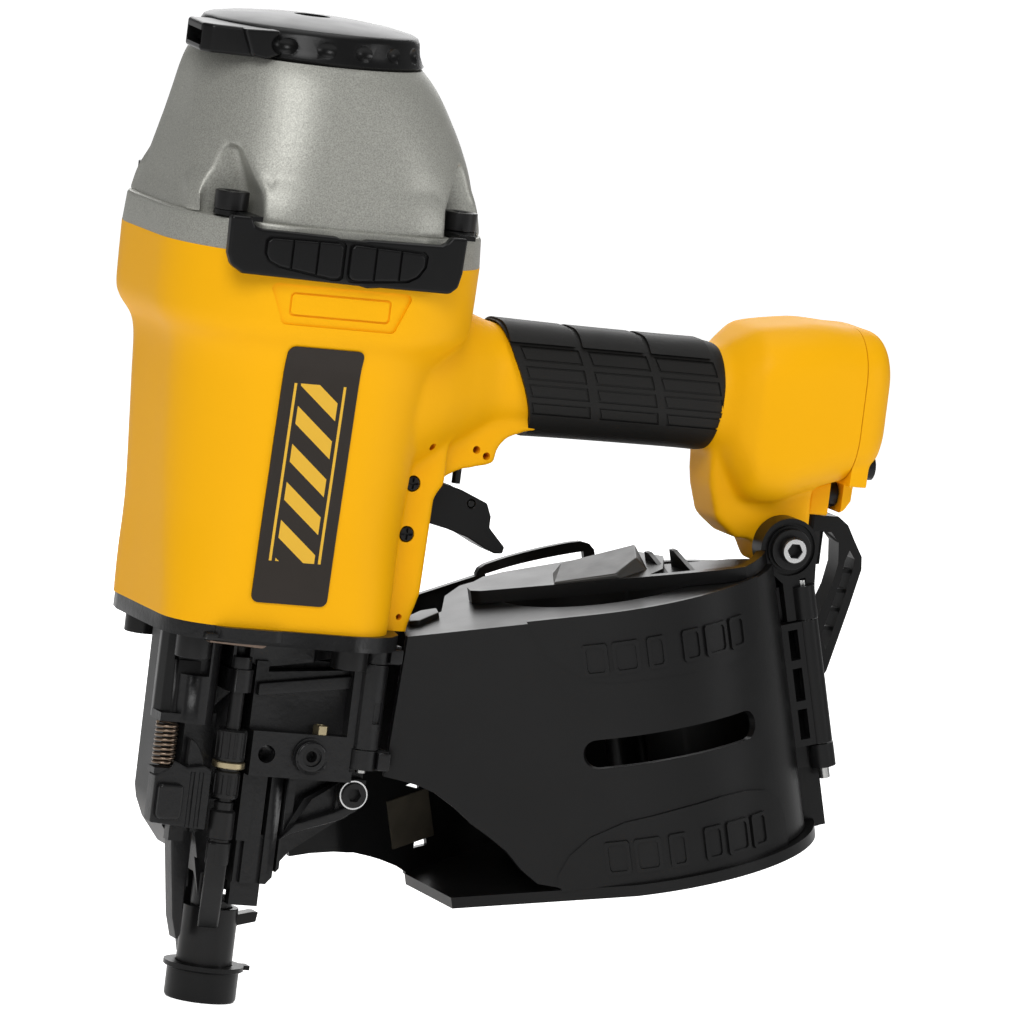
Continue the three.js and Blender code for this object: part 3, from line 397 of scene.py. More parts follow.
class Nodes:
    """A short way to write a node tree."""
    def __init__(self, name):
        self.material = bpy.data.materials.new(name)
        self.material.use_nodes = True
        self.tree = self.material.node_tree
        self.shader = self.tree.nodes["Principled BSDF"]
        self.place = self.add("ShaderNodeTexCoord").outputs["Object"]

    def add(self, kind, **inputs):
        node = self.tree.nodes.new(kind)
        for key, value in inputs.items():
            socket = node.inputs[key.replace("_", " ")]
            if hasattr(value, "is_output"):
                self.tree.links.new(value, socket)
            else:
                socket.default_value = value
        return node

    def noise(self, scale, detail=3, roughness=0.5, distortion=0.0):
        node = self.add("ShaderNodeTexNoise", Scale=scale, Detail=detail, Roughness=roughness,
                        Distortion=distortion, Vector=self.place)
        return node.outputs["Fac"]

    def ramp(self, value, stops):
        node = self.add("ShaderNodeValToRGB", Fac=value)
        ramp = node.color_ramp
        while len(ramp.elements) < len(stops):
            ramp.elements.new(0.5)
        for element, (at, color) in zip(ramp.elements, stops):
            element.position = at
            element.color = (*color, 1) if hasattr(color, "__len__") else (color, color, color, 1)
        return node.outputs["Color"]

    def math(self, operation, a, b=0.0):
        node = self.tree.nodes.new("ShaderNodeMath")
        node.operation = operation
        for socket, value in zip(node.inputs, (a, b)):
            if hasattr(value, "is_output"):
                self.tree.links.new(value, socket)
            else:
                socket.default_value = value
        return node.outputs[0]

    def band(self, value, low, high):
        """One between two values and nothing elsewhere."""
        above = self.math("GREATER_THAN", value, low)
        return self.math("MULTIPLY", above, self.math("LESS_THAN", value, high))

    def axes(self):
        return self.add("ShaderNodeSeparateXYZ", Vector=self.place).outputs

    def span(self, value, low, high, start=0.0, end=1.0):
        node = self.tree.nodes.new("ShaderNodeMapRange")
        self.tree.links.new(value, node.inputs["Value"])
        node.inputs["From Min"].default_value = start
        node.inputs["From Max"].default_value = end
        node.inputs["To Min"].default_value = low
        node.inputs["To Max"].default_value = high
        return node.outputs["Result"]

    def mix(self, factor, a, b):
        node = self.tree.nodes.new("ShaderNodeMix")
        node.data_type = "RGBA"
        for socket, value in ((node.inputs[0], factor), (node.inputs[6], a), (node.inputs[7], b)):
            if hasattr(value, "is_output"):
                self.tree.links.new(value, socket)
            elif hasattr(value, "__len__"):
                socket.default_value = (*value, 1)
            else:
                socket.default_value = value
        return node.outputs[2]

    def bump(self, height, strength, distance=0.0004, under=None):
        node = self.add("ShaderNodeBump", Height=height, Strength=strength, Distance=distance)
        if under is not None:
            self.tree.links.new(under, node.inputs["Normal"])
        return node.outputs["Normal"]

    def set(self, **inputs):
        for key, value in inputs.items():
            socket = self.shader.inputs[key.replace("_", " ")]
            if hasattr(value, "is_output"):
                self.tree.links.new(value, socket)
            elif hasattr(value, "__len__"):
                socket.default_value = (*value, 1)
            else:
                socket.default_value = value
        return self.material


def paint_silver():
    n = Nodes("silver_hammertone")
    grain = n.noise(2100, 2, 0.6)
    fleck = n.noise(1100, 3, 0.7)
    color = n.ramp(grain, [(0.3, (0.26, 0.26, 0.235)), (0.52, (0.36, 0.36, 0.325)),
        (0.72, (0.46, 0.46, 0.415))])
    return n.set(Base_Color=color, Metallic=0.35, Roughness=n.span(fleck, 0.34, 0.52),
                 Specular_IOR_Level=0.5, Normal=n.bump(fleck, 0.2, 0.0002))


def surface(name, dark, light, drift, sheen, rough, specular, grain, bump, metallic=0.0):
    """A surface with a slow drift of tone, uneven gloss and a fine grain."""
    n = Nodes(name)
    return n.set(Base_Color=n.mix(n.noise(*drift), dark, light), Metallic=metallic,
                 Roughness=n.span(n.noise(*sheen), *rough), Specular_IOR_Level=specular,
                 Normal=n.bump(n.noise(*grain), *bump))


def bright_metal(name, color, low=0.22, high=0.36):
    worn = tuple(c * 0.85 for c in color)
    return surface(name, color, worn, (70, 3), (500, 3), (low, high), 0.5, (1600, 2), (0.06, 0.0002), 1.0)


def label_print():
    """Dark print with plain slanted stripes between two thin lines. It carries no lettering."""
    stripe_pitch = 0.0135
    stripe_reach = 0.0072
    line_in, line_out = 0.0086, 0.0096
    print_low, print_high = 0.163, 0.226
    n = Nodes("label_print")
    ink = n.mix(n.noise(80, 3), (0.020, 0.0155, 0.012), (0.027, 0.021, 0.017))
    across, _, up = n.axes()
    from_middle = n.math("ABSOLUTE", n.math("SUBTRACT", across, (DRIVER_X - 1.5) / 1000))
    slant = n.math("ADD", n.math("MULTIPLY", across, 0.8), up)
    wave = n.math("SINE", n.math("MULTIPLY", slant, 2 * math.pi / stripe_pitch))
    stripes = n.math("GREATER_THAN", wave, 0.1)
    stripes = n.math("MULTIPLY", stripes, n.math("LESS_THAN", from_middle, stripe_reach))
    lines = n.band(from_middle, line_in, line_out)
    printed = n.math("MULTIPLY", n.math("MAXIMUM", stripes, lines), n.band(up, print_low, print_high))
    color = n.mix(n.math("MULTIPLY", printed, 0.9), ink, (0.86, 0.50, 0.04))
    return n.set(Base_Color=color, Roughness=n.span(n.noise(200, 3), 0.40, 0.48), Specular_IOR_Level=0.25,
                 Normal=n.bump(n.noise(1500, 2), 0.06, 0.0002))


MATERIALS = {
    "housing_yellow": surface("yellow_paint", (0.90, 0.425, 0.001), (0.97, 0.475, 0.002), (14, 2),
                             (60, 3), (0.46, 0.54), 0.12, (900, 2), (0.12, 0.0002)),
    "cap_silver": paint_silver(),
    "black_plastic": surface("black_plastic", (0.0042, 0.0042, 0.0043), (0.0078, 0.0078, 0.0080), (30, 3),
                            (80, 4), (0.26, 0.37), 0.2, (1200, 3, 0.6), (0.12, 0.0002)),
    "black_rubber": surface("black_rubber", (0.0058, 0.0056, 0.0052), (0.0105, 0.0100, 0.0092), (40, 3),
                           (90, 3), (0.50, 0.62), 0.25, (1400, 3, 0.6), (0.25, 0.0002)),
    "black_casting": surface("black_casting", (0.0045, 0.0045, 0.0048), (0.0095, 0.0095, 0.0100), (25, 4),
                            (150, 4), (0.26, 0.40), 0.3, (420, 4, 0.65), (0.38, 0.0004)),
    "label_dark": label_print(),
    "black_steel": surface("black_steel", (0.0060, 0.0060, 0.0064), (0.0125, 0.0122, 0.0122), (60, 4),
                          (300, 4), (0.26, 0.40), 0.3, (900, 3), (0.1, 0.0002), 0.2),
    "bright_alloy": bright_metal("bright_alloy", (0.55, 0.56, 0.57)),
    "bright_steel": bright_metal("bright_steel", (0.50, 0.50, 0.49)),
    "worn_brass": bright_metal("worn_brass", (0.50, 0.42, 0.26), 0.28, 0.42),
    "worn_edge": bright_metal("worn_edge", (0.20, 0.15, 0.12), 0.35, 0.5),
    "worn_wire": bright_metal("worn_wire", (0.24, 0.18, 0.135), 0.25, 0.4),
    "ring_steel": bright_metal("ring_steel", (0.72, 0.72, 0.72), 0.2, 0.3),
    # Painted reflection: the flap's black plastic is coloured mid grey for the light it catches at a grazing
    # angle
    "flap_painted_reflection": surface("flap_painted_reflection", (0.020, 0.020, 0.019), (0.048, 0.047, 0.043), (90, 4),
                        (160, 3), (0.3, 0.45), 0.4, (900, 3), (0.12, 0.0002)),
    "worn_plate": surface("worn_plate", (0.030, 0.026, 0.020), (0.085, 0.075, 0.055), (120, 4),
                         (200, 3), (0.35, 0.55), 0.4, (500, 3), (0.2, 0.0003)),
}


# Raised and sunk areas of the magazine cover: how far out or in, and (arc length, height) points

def cell(left, right, low, high, lean=0.0):
    return [(left + 0.6, low), (right - 0.6, low), (right, low + 1), (right + lean, high - 1),
        (right + lean - 0.6, high), (left + lean + 0.6, high), (left + lean, high - 1), (left, low + 1)]


UPPER_CELLS = ((-31.4, -22.8), (-21.2, -11.8), (-9, -2.4), (3.9, 11.2), (12.8, 22.2), (23.6, 31))
UPPER_FIELD = [(-48.2, 98), (-45.5, 90), (-41.9, 83), (-36, 78.5), (-30.4, 74.4), (-22, 73), (22, 71.6),
    (30, 72), (36.6, 75.6), (41.8, 83), (43, 90), (43.4, 98)]
LOWER_FIELD = [(-49, 0), (-48.2, 6), (-44, 12.5), (-36.6, 18.2), (-24, 22.4), (-4.2, 24.4), (12, 25.4),
    (23, 25), (33, 22.6), (39.8, 18), (42.4, 10), (42.8, 0)]
RELIEFS = [(0.9, UPPER_FIELD), (0.9, LOWER_FIELD)]
RELIEFS += [(1.9, cell(left, right, 76, 87.4)) for left, right in UPPER_CELLS]
RELIEFS += [(1.9, cell(left - 0.8, right - 0.8, 4, 16)) for left, right in UPPER_CELLS]
GROOVES = [(-1.2, cell(left + 1.2, right - 1.2, 77.2, 86.2)) for left, right in UPPER_CELLS]
GROOVES += [(-1.2, cell(left + 0.4, right - 2, 5.2, 14.8)) for left, right in UPPER_CELLS]


# Pieces

def cone(x, y, z0, z1, r0, r1, sides=40):
    return round_bar((x, y), z0, z1, r0, r1, sides=sides)


def corners(x, half):
    return [(x + sx * half, sy * half) for sy in (-1, 1) for sx in (-1, 1)]


def poured(shape, voxel, repeats, factor=0.5):
    """Softens a joined solid the way a cast one is."""
    return relax(remesh(shape, voxel), repeats, factor)


def body_shell():
    return loft("body", [(124, BODY_X, 0, 41, 44, 19), (NOSE_TOP, BODY_X, 0, 41.6, 44.5, 20),
        (152, BODY_X, 0, 42.4, 45.2, 22.5), (172, BODY_X, 0, 43.5, 46.2, 28),
        (192, BODY_X, 0, 45.2, 47.6, 31.5), (216, BODY_X, 0, 46.9, 49.2, 33), (231, 1.2, 0, 48, 50.4, 33.5),
        (237, 1.9, 0, 50.2, 52.2, 35), (243, 2.7, 0, 55.6, 56, 38), (247, HEAD_X, 0, 57.8, 57.4, 40),
        (252, HEAD_X, 0, 58.1, 57.8, 40.5), (PARTING, HEAD_X, 0, 58.6, 58.1, 41),
        (284, HEAD_X, 0, 58.8, 58.3, 41)], per_corner=18)


def housing_spine():
    spine = prism("spine", [(20, 126), (52.6, 126), (53.2, 140), (56.5, 152), (57.5, 187), (61, 192),
        (67, 196), (81, 199.5), (81, 204.5), (84, 209), (92, 212), (104, 214), (104, 240), (20, 240)], -21,
        21, "Y")
    front = block(0, 60.5, -21, 21, 120, 250)
    rear = block(59.5, 105, -14, 14, 180, 250)
    twin = new_object("spine_rear", spine.data.copy())
    return join(common(spine, front), common(twin, rear))


def housing_handle():
    return loft("handle", [(24, 0, 221, 43, 37, 30), (38, 0, 224, 39, 34, 29), (52, 0, 226.5, 33, 29.5, 26),
        (66, 0, 228.4, 25, 23.6, 21), (80, 0, HANDLE_Z, 18.9, 18.9, 16.5),
        (120, 0, HANDLE_Z, 17.2, 17.2, 15.5), (156, 0, HANDLE_Z, 17.1, 17.1, 15.5),
        (163, 0, 228.3, 18.8, 18.9, 16), (169, 0, 226.5, 23.5, 25, 17), (176, 0, 225, 27, 31, 17),
        (186, 0, 225.8, 28, 31.9, 17), (196, 0, 228.4, 28.1, 30.6, 17.5), (212, 0, 231, 27.6, 27.6, 18),
        (224, 0, 233, 27, 26.5, 18)], axis="X", per_corner=16)


def hanger_leg():
    return prism("leg", [(162.6, 214), (164, 198), (168, 186), (176, 180), (183, 180), (188, 171), (199, 171),
                         (204, 182), (203.4, 206)], -12, 12, "Y")


def housing_bores():
    """What is cut out: the cylinder's room, the air way, the trigger's slot and the screw holes."""
    tools = [cone(0, 0, 136, 151, 31.3, 31.3), cone(0, 0, 150, 250, 35.5, 35.5), cone(0, 0, 248, 272, 46, 46),
             round_bar((0, HANDLE_Z + 3), 30, 214, 11, axis="X")]
    tools.append(block(46, 64, -8.8, 8.8, 160, 195.5))
    tools.append(block(60, 80, -8.8, 8.8, 160, 196))
    tools.append(cone(72, 0, 190, 226, 7.3, 7.3))
    tools.append(cross_bar(TRIGGER_PIN, -19.6, 19.6, 2.3))
    tools += [cross_bar(centre, -30, -10, 2.95) for centre in reversed(SIDE_SCREWS)]
    tools += [cross_bar(centre, -30, 30, r) for centre, r in
              (((52, 205), 1.4), ((73, 204), 1.4), ((77, 202), 1.4), ((49, 143.5), 1.1))]
    tools += [cone(x, y, 246, 271, 3.4, 3.4) for x, y in corners(HEAD_X, CAP_SCREW)]
    tools += [cone(BODY_X + sx * NOSE_BOLT_X, sy * NOSE_BOLT_Y, 137, 152, 3.4, 3.4)
              for sx in (-1, 1) for sy in (-1, 1)]
    tools += [round_bar((y, z), x - 17, x + 2, 2.9, axis="X") for x, y, z in END_BOLTS]
    tools.append(cross_bar(EYE, -20, 20, 4.4))
    return tools


def rounded_trapezoid(x, z, top, bottom, half, radius):
    """A trapezoid with its corners rounded, wider at the top."""
    points = []
    for sx, sz, start in ((1, 1, 0), (-1, 1, 90), (-1, -1, 180), (1, -1, 270)):
        reach = top if sz > 0 else bottom
        for i in range(6):
            angle = math.radians(start + 18 * i)
            points.append((x + sx * (reach - radius) + radius * math.cos(angle),
                           z + sz * (half - radius) + radius * math.sin(angle)))
    return points


def shifted_body(y):
    body = body_shell()
    body.data.transform(Matrix.Translation((0, y, 0)))
    return body


def sunk(points, side, depth):
    """What to take off the body's side to sink an area evenly below its surface."""
    return cut(prism("panel", points, side * 50, side * 64, "Y"), shifted_body(-side * depth))


def housing():
    """The yellow casting, with a sunk panel and a thin frame below the cap on each side."""
    shell = join(body_shell(), housing_spine(), housing_handle(), hanger_leg())
    shell = poured(shell, 1.25, 14)
    envelope = join(block(-70, 120, -70, 70, NOSE_TOP, PARTING), block(100, 212, -70, 70, 160, 270))
    shell = common(shell, envelope)
    shell = cut(shell, *housing_bores())
    for side in (-1, 1):
        shell = cut(shell, sunk(rounded_trapezoid(0, 253.7, 25.6, 21.4, 7.1, 2.2), side, 1.1))
        outer = prism("groove", rounded_loop(0, 253.9, 18.6, 4.2, 1.6, 6), side * 54, side * 60, "Y")
        inner = prism("groove", rounded_loop(0, 253.9, 17.9, 3.5, 1.2, 6), side * 53, side * 61, "Y")
        shell = cut(shell, cut(cut(outer, inner), shifted_body(-side * 1.8)))
    place(shell, "main_housing", 38)


def head_cap():
    """The silver cap: a dome with flat walls round its foot, and a niche over each screw."""
    dome = loft("dome", [
        (262, HEAD_X, 0, 56.6, 56.2, 41), (281, HEAD_X, 0, 55.9, 55.4, 41), (290, 3.4, 0, 54.6, 54.1, 41),
        (300, 3.2, 0, 52.7, 52.4, 41), (310, 2.3, 0, 50.1, 50.1, 41), (320, 0.6, 0, 47.2, 47.2, 41),
        (328, -1.2, 0, 44.6, 44.6, 41), (333, -2.6, 0, 42.2, 42.2, 40), (CAP_TOP, -3.3, 0, 40.3, 40.3, 38),
        (340, -4, 0, 37.5, 37.5, 36)], per_corner=18)
    skirt = loft("skirt", [(281, HEAD_X, 0, 57.4, 56.9, 41), (288, 3.1, 0, 56.2, 55.8, 41),
        (298, 3.3, 0, 52.6, 52.2, 40), (311, 2.2, 0, 46, 46, 40)], per_corner=18)
    walls = []
    for x, y in corners(HEAD_X, CAP_SCREW):
        out = math.copysign(1, y)
        wedge = [(x - 12.4, 279), (x + 12.4, 279), (x + 11.2, 291), (x + 3.4, 311), (x - 3.4, 311),
            (x - 11.2, 291)]
        walls.append(prism("wall", wedge, min(10 * out, 64 * out), max(10 * out, 64 * out), "Y"))
    for side in (-1, 1):
        front = [(-36, 276), (42, 276), (36, 290), (26, 303), (-20, 303), (-30, 290)]
        walls.append(prism("front", front, *sorted((side * 20, side * 64)), "Y"))
    walls = common(join(*walls), skirt)
    shape = join(dome, walls)
    pockets = []
    for x, y in corners(HEAD_X, CAP_SCREW):
        out = math.copysign(1, y)
        back = y - out * 9.2
        niche = [(x - 9.2, 270), (x + 9.2, 270), (x + 8.6, 290), (x + 2.6, 305), (x - 1.8, 305),
            (x - 8.6, 290)]
        pockets.append(prism("niche", niche, min(back, 70 * out), max(back, 70 * out), "Y"))
    shape = cut(shape, *pockets)
    shape = poured(shape, 0.95, 6)
    shape = common(shape, block(-70, 76, -70, 70, PARTING, CAP_TOP))
    rim = loft("rim", [(PARTING, HEAD_X, 0, 58.5, 58, 41), (279.6, HEAD_X, 0, 58, 57.5, 41),
        (280.6, HEAD_X, 0, 57.5, 57, 40.6), (281, HEAD_X, 0, 56.6, 56.1, 40)], straight=True, per_corner=18)
    shape = join(rim, shape)
    holes = [cone(x, y, 268, 284, 3.4, 3.4) for x, y in corners(HEAD_X, CAP_SCREW)]
    holes += [cone(0, 0, 269, 280, 40, 40), cone(0, 0, 270, 319, 34.5, 34.5)]
    holes += [cone(CROWN_X, 0, 310, 340, 3.3, 3.3)]
    holes += [cone(CROWN_X + 20 * math.cos(math.radians(a)), 20 * math.sin(math.radians(a)), 315, 340, 7, 7)
              for a in (90, 210, 330)]
    holes += [block(-47.3, 47.6, -70, -57.2, 260, 283.6), block(-47.3, 47.6, 57.2, 70, 260, 283.6)]
    shape = cut(shape, *holes)
    place(shape, "head_cap", 38)


BUMPER_PADS = (
    [(-31.5, 275.4), (-30, 276.6), (-4.6, 276.8), (-3.4, 275.6), (-3.4, 265.6), (-4.6, 264.6), (-7, 264.4),
     (-26, 267), (-30, 268.6), (-31.4, 271)],
    [(-0.6, 275.6), (0.6, 276.8), (25.6, 275.8), (27, 274.4), (26.8, 271), (24.5, 267.6), (21, 265.8),
     (3, 264.3), (0.6, 264.4), (-0.6, 265.8)])


def bumper(side):
    """A bar with two raised pads, each in three cells, and an ear under the cap screw at each end."""
    low, high = sorted((side * BUMPER_IN, side * BUMPER_OUT))
    profile = [(-39, 263.4), (4, 262.6), (7, 262), (12, 262.6), (37.5, 262.6), (40.3, 265), (41.4, 270),
        (41.8, 282.4), (36, 282.4), (34.6, 280.4), (32.6, 279.3), (5.4, 278.9), (3.6, 278.3), (-4.6, 278.3),
        (-6.4, 279), (-33.6, 279.4), (-36.4, 280.2), (-38, 283.2), (-45.5, 283.2), (-45.2, 270),
        (-43.6, 266)]
    if side > 0:
        profile = [(HEAD_X - x, z) for x, z in profile]
    bar = bevel(prism("bumper", profile, low, high, "Y"), 1.1, 3)
    face = side * BUMPER_OUT
    for pad in BUMPER_PADS:
        if side > 0:
            pad = [(HEAD_X - x, z) for x, z in pad]
        middle = sum(x for x, z in pad) / len(pad), sum(z for x, z in pad) / len(pad)
        grown = [(middle[0] + (x - middle[0]) * 1.07, middle[1] + (z - middle[1]) * 1.14) for x, z in pad]
        bar = cut(bar, prism("well", grown, face - side * 1.3, face + side, "Y"))
        raised = bevel(prism("pad", pad, face - side * 1.8, face + side * 0.5, "Y"), 0.9, 3)
        left = min(x for x, z in pad)
        step = (max(x for x, z in pad) - left) / 3
        for k in (1, 2):
            x = left + step * k
            raised = cut(raised, block(x - 0.45, x + 0.45, *sorted((face - side * 0.7, face + side)), 262,
                279))
        bar = join(bar, raised)
    for end in (-1, 1):
        x, y = HEAD_X + end * CAP_SCREW, side * CAP_SCREW
        inner = min(x, x - end * 6)
        ear = join(block(inner, inner + 6, *sorted((y, side * 60)), 281.5, 283.2),
            cone(x, y, 281.5, 283.2, 5.9, 5.9))
        ear = cut(ear, cone(x, y, 280, 285, 3.4, 3.4))
        bar = join(bar, bevel(ear, 0.3))
    name = "bumper_near" if side < 0 else "bumper_far"
    place(bar, name, 30)


def ball(x, y, z, rx, ry, rz, segments=24):
    bm = bmesh.new()
    bmesh.ops.create_uvsphere(bm, u_segments=segments, v_segments=segments // 2, radius=1)
    for vert in bm.verts:
        vert.co = (x + rx * vert.co.x, y + ry * vert.co.y, z + rz * vert.co.z)
    return from_bmesh("ball", bm)


def deflector():
    """The turning air deflector: a scalloped disc with its spout."""
    x = CROWN_X
    disc = lathe("deflector", [(0, 345.5), (35.6, 343), (37.4, CAP_TOP + 0.3), (40.2, CAP_TOP + 0.3),
        (41, CAP_TOP + 1.2), (40.4, CAP_TOP + 2), (39.4, 340), (38.6, 344.6), (37.8, 346.2), (36.2, 347),
        (30, 348.2), (20, 349.3), (10, 349.9), (0, 350)], x)
    spout = prism("spout", [(-52.5, -27), (-50, -31), (-29, -35), (-24, -30), (-20, -8), (-30, -2),
        (-50, -4)], CAP_TOP + 0.3, 345.8)
    spout = bevel(spout, 1.2, 3)
    cheek = bevel(prism("cheek", [(-40, 345.6), (-27, 346), (-24, 338.6), (-31, CAP_TOP + 0.3),
        (-36, CAP_TOP + 1)], -36.6, -30, "Y"), 0.9, 3)
    shape = join(disc, spout, cheek)
    dents = [ball(x + 43 * math.cos(math.radians(a)), 43 * math.sin(math.radians(a)), 341.4, 5.4, 5.4, 4)
             for a in range(-120, 121, 20)]
    hub = cone(x, 0, CAP_TOP + 0.3, 347, 8, 8)
    shape = cut(shape, *dents)
    shape = cut(shape, prism("chute", [(-46, -27), (-28, -29), (-24, -8), (-44, -6)], CAP_TOP - 1, 343.6))
    shape = cut(shape, block(-56, -42, -27, -6, CAP_TOP + 2.4, 343))
    shape = cut(join(shape, hub), cone(x, 0, 330, 352, 3.5, 3.5), cone(x, 0, 344.5, 352, 6.4, 6.4))
    ridge = cut(cone(x, 0, 345, 349.6, 9.4, 8.6), cone(x, 0, 340, 352, 7.4, 7.4))
    shape = join(shape, ridge)
    place(shape, "exhaust_deflector", 40)


def grip_skin(grow):
    return loft("grip", [
        (62, 0, HANDLE_Z, 20.6 + grow, 20.4 + grow, 17.5), (84, 0, HANDLE_Z, 20.2 + grow, 20 + grow, 17.5),
        (110, 0, HANDLE_Z, 19.7 + grow, 19.5 + grow, 17), (150, 0, HANDLE_Z, 19.4 + grow, 19.3 + grow, 17),
        (158, 0, HANDLE_Z, 19.5 + grow, 19.4 + grow, 17), (161, 0, HANDLE_Z, 19.2 + grow, 19.1 + grow, 17),
        (162.2, 0, HANDLE_Z, 18.6 + grow, 18.5 + grow, 16.5)], axis="X", per_corner=16)


def grip():
    """The rubber sleeve: sunk wells with raised pads on both sides, and three lobes along its top."""
    base = grip_skin(0)
    core = grip_skin(-0.45)
    wells, pads = [], []
    for side in (-1, 1):
        low, high = sorted((side * 12, side * 26))
        for top, bottom in ((242.4, 237.4), (235.8, 231), (229.6, 224.9), (223.2, 218.7)):
            for left in (83.2, 109.2, 134.8):
                lean = 0.3 * (242.4 - top)
                drop = 0.3 * (top - bottom)
                right = left + lean + 22.6
                shape = [(left + lean, top), (right, top), (right + drop, bottom),
                    (left + lean + drop, bottom)]
                wells.append(prism("well", shape, low, high, "Y"))
                inset = [(left + lean + 0.8, top - 0.7), (right - 0.8, top - 0.7),
                         (right + drop - 0.8, bottom + 0.7), (left + lean + drop + 0.8, bottom + 0.7)]
                pads.append(prism("pad", inset, low, high, "Y"))
    band = cut(grip_skin(1.2), core)
    base = cut(base, common(join(*wells), band))
    base = join(base, common(join(*pads), grip_skin(-0.12)))
    lobes = []
    for start, end in ((79.5, 104.6), (107.2, 130.8), (133.4, 156.4)):
        lobes.append(bevel(prism("lobe", [(start, -18.6), (end, -18.6), (end, 18.6), (start, 18.6)], 243.6,
            252), 0.4))
    lobes = common(join(*lobes), grip_skin(0.75))
    base = join(base, bevel(lobes, 0.35, 2, 40))
    hole = loft("hole", [(60, 0, 229, 26, 25, 21), (68, 0, 229, 24.6, 23.6, 20.5),
        (82, 0, HANDLE_Z, 18.9, 18.9, 16.3), (120, 0, HANDLE_Z, 17.6, 17.6, 15.5),
        (158, 0, HANDLE_Z, 17.5, 17.5, 15.5), (166, 0, 228, 20, 20.5, 15.5)], axis="X", per_corner=16)
    slant = prism("slant", [(50, 190), (93.5, 190), (93.4, 204), (92, 211), (89.5, 219), (86, 228),
        (81.5, 238), (78.8, 246), (77.5, 252), (77, 262), (50, 262)], -40, 40, "Y")
    base = cut(base, hole, slant)
    place(base, "grip_sleeve", 28)


END_BOLTS = ((216.8, -17, 210), (216.8, 17, 210), (211.8, 0, 197.5))


def end_cap():
    dome = loft("end_cap", [(200, 0, 229.5, 28, 28, 18), (212, 0, 231, 27.6, 27.6, 18),
        (217, 0, 231.3, 26.8, 27, 17), (220, 0, 231.5, 25.2, 25.6, 15.5), (222.6, 0, 231.6, 22.6, 23.1, 14),
        (224.4, 0, 231.7, 19.2, 19.7, 12), (225.4, 0, 231.8, 15.5, 16, 10), (225.8, 0, 231.8, 12, 12.5, 9)],
        axis="X", per_corner=16)
    lugs = [block(206, 219, *sorted((side * 11, side * 23)), 203, 216) for side in (-1, 1)]
    shape = join(dome, *lugs)
    shape = poured(shape, 1.0, 8)
    shape = common(shape, block(212.3, 240, -40, 40, 180, 270))
    foot = prism("foot", [(204.3, 190.2), (214, 190.2), (218.4, 192.4), (220.6, 196), (221, 208),
        (212.3, 208), (212.3, 203), (204.3, 200.2)], -7, 13, "Y")
    shape = join(shape, bevel(foot, 1.2, 3))
    cuts = [block(211.8, 216.8, -9, 5.2, 188, 202.9), round_bar((0, 197.5), 216, 224, 2.6, axis="X"),
        loft("hollow", [(210, 0, 231, 20, 20, 12), (216.5, 0, 231.3, 15, 15, 10)], axis="X", straight=True),
        round_bar((0, 231), 216, 240, 8.3, axis="X"), cone(209.8, 2, 188, 193.6, 2.1, 2.1)]
    cuts += [round_bar((y, z), x - 14, x + 1, 2.9, axis="X") for x, y, z in END_BOLTS]
    cuts += [round_bar((y, z), x, 235, 5.4, axis="X") for x, y, z in END_BOLTS[:2]]
    shape = cut(shape, *cuts)
    place(shape, "end_cap", 38)


def side_label():
    plate = prism("label", rounded_loop(-1.5, 193.5, 14, 45.5, 2.6, 8), -60, -30, "Y")
    plate = cut(common(plate, shifted_body(-0.75)), shifted_body(0.15))
    place(plate, "side_label", 25)


def spring(node, x, y, z0, z1, radius, wire, turns, material=None):
    """A coil that rides with its CAD node's body, with its foot on the piece that moves."""
    obj = place(coil(node + "_look", x, y, z0, z1, radius, wire, turns), node, 60, material)
    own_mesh(obj)


def springs():
    spring("head_valve_spring", 0, 0, 283.4, 318.6, 19, 1.3, 4)
    spring("trip_spring", TRIP_X, 18.3, 85.2, 132.7, 4, 0.75, 9)
    spring("latch_spring", LATCH_X - 0.6, LATCH_Y - 0.6, 84.8, 100.6, 3.6, 0.55, 7.5,
           "worn_wire")


# Magazine, in its own tilted frame until in_can() moves it

def along_plane(x, h):
    return (x - CAN_X + h * math.sin(CAN_TILT)) / math.cos(CAN_TILT)


def on_cover(points, sink, rise, name="relief"):
    """A flat outline of (arc length, height) points, wrapped on the outside of the cover."""
    obj = prism(name, points, -sink, rise)
    bm = bmesh.new()
    bm.from_mesh(obj.data)
    span = [u for u, v in points]
    u = math.floor(min(span) / 2.5) * 2.5
    while u < max(span):
        geometry = bm.verts[:] + bm.edges[:] + bm.faces[:]
        bmesh.ops.bisect_plane(bm, geom=geometry, plane_co=(u, 0, 0), plane_no=(1, 0, 0))
        u += 2.5
    for vert in bm.verts:
        angle = -math.pi / 2 + vert.co.x / CAN_R
        past = max(0, TANGENT - angle)
        radius = CAN_R / math.cos(past) + vert.co.z
        vert.co = (radius * math.cos(angle), radius * math.sin(angle), vert.co.y)
    bm.to_mesh(obj.data)
    bm.free()
    return obj


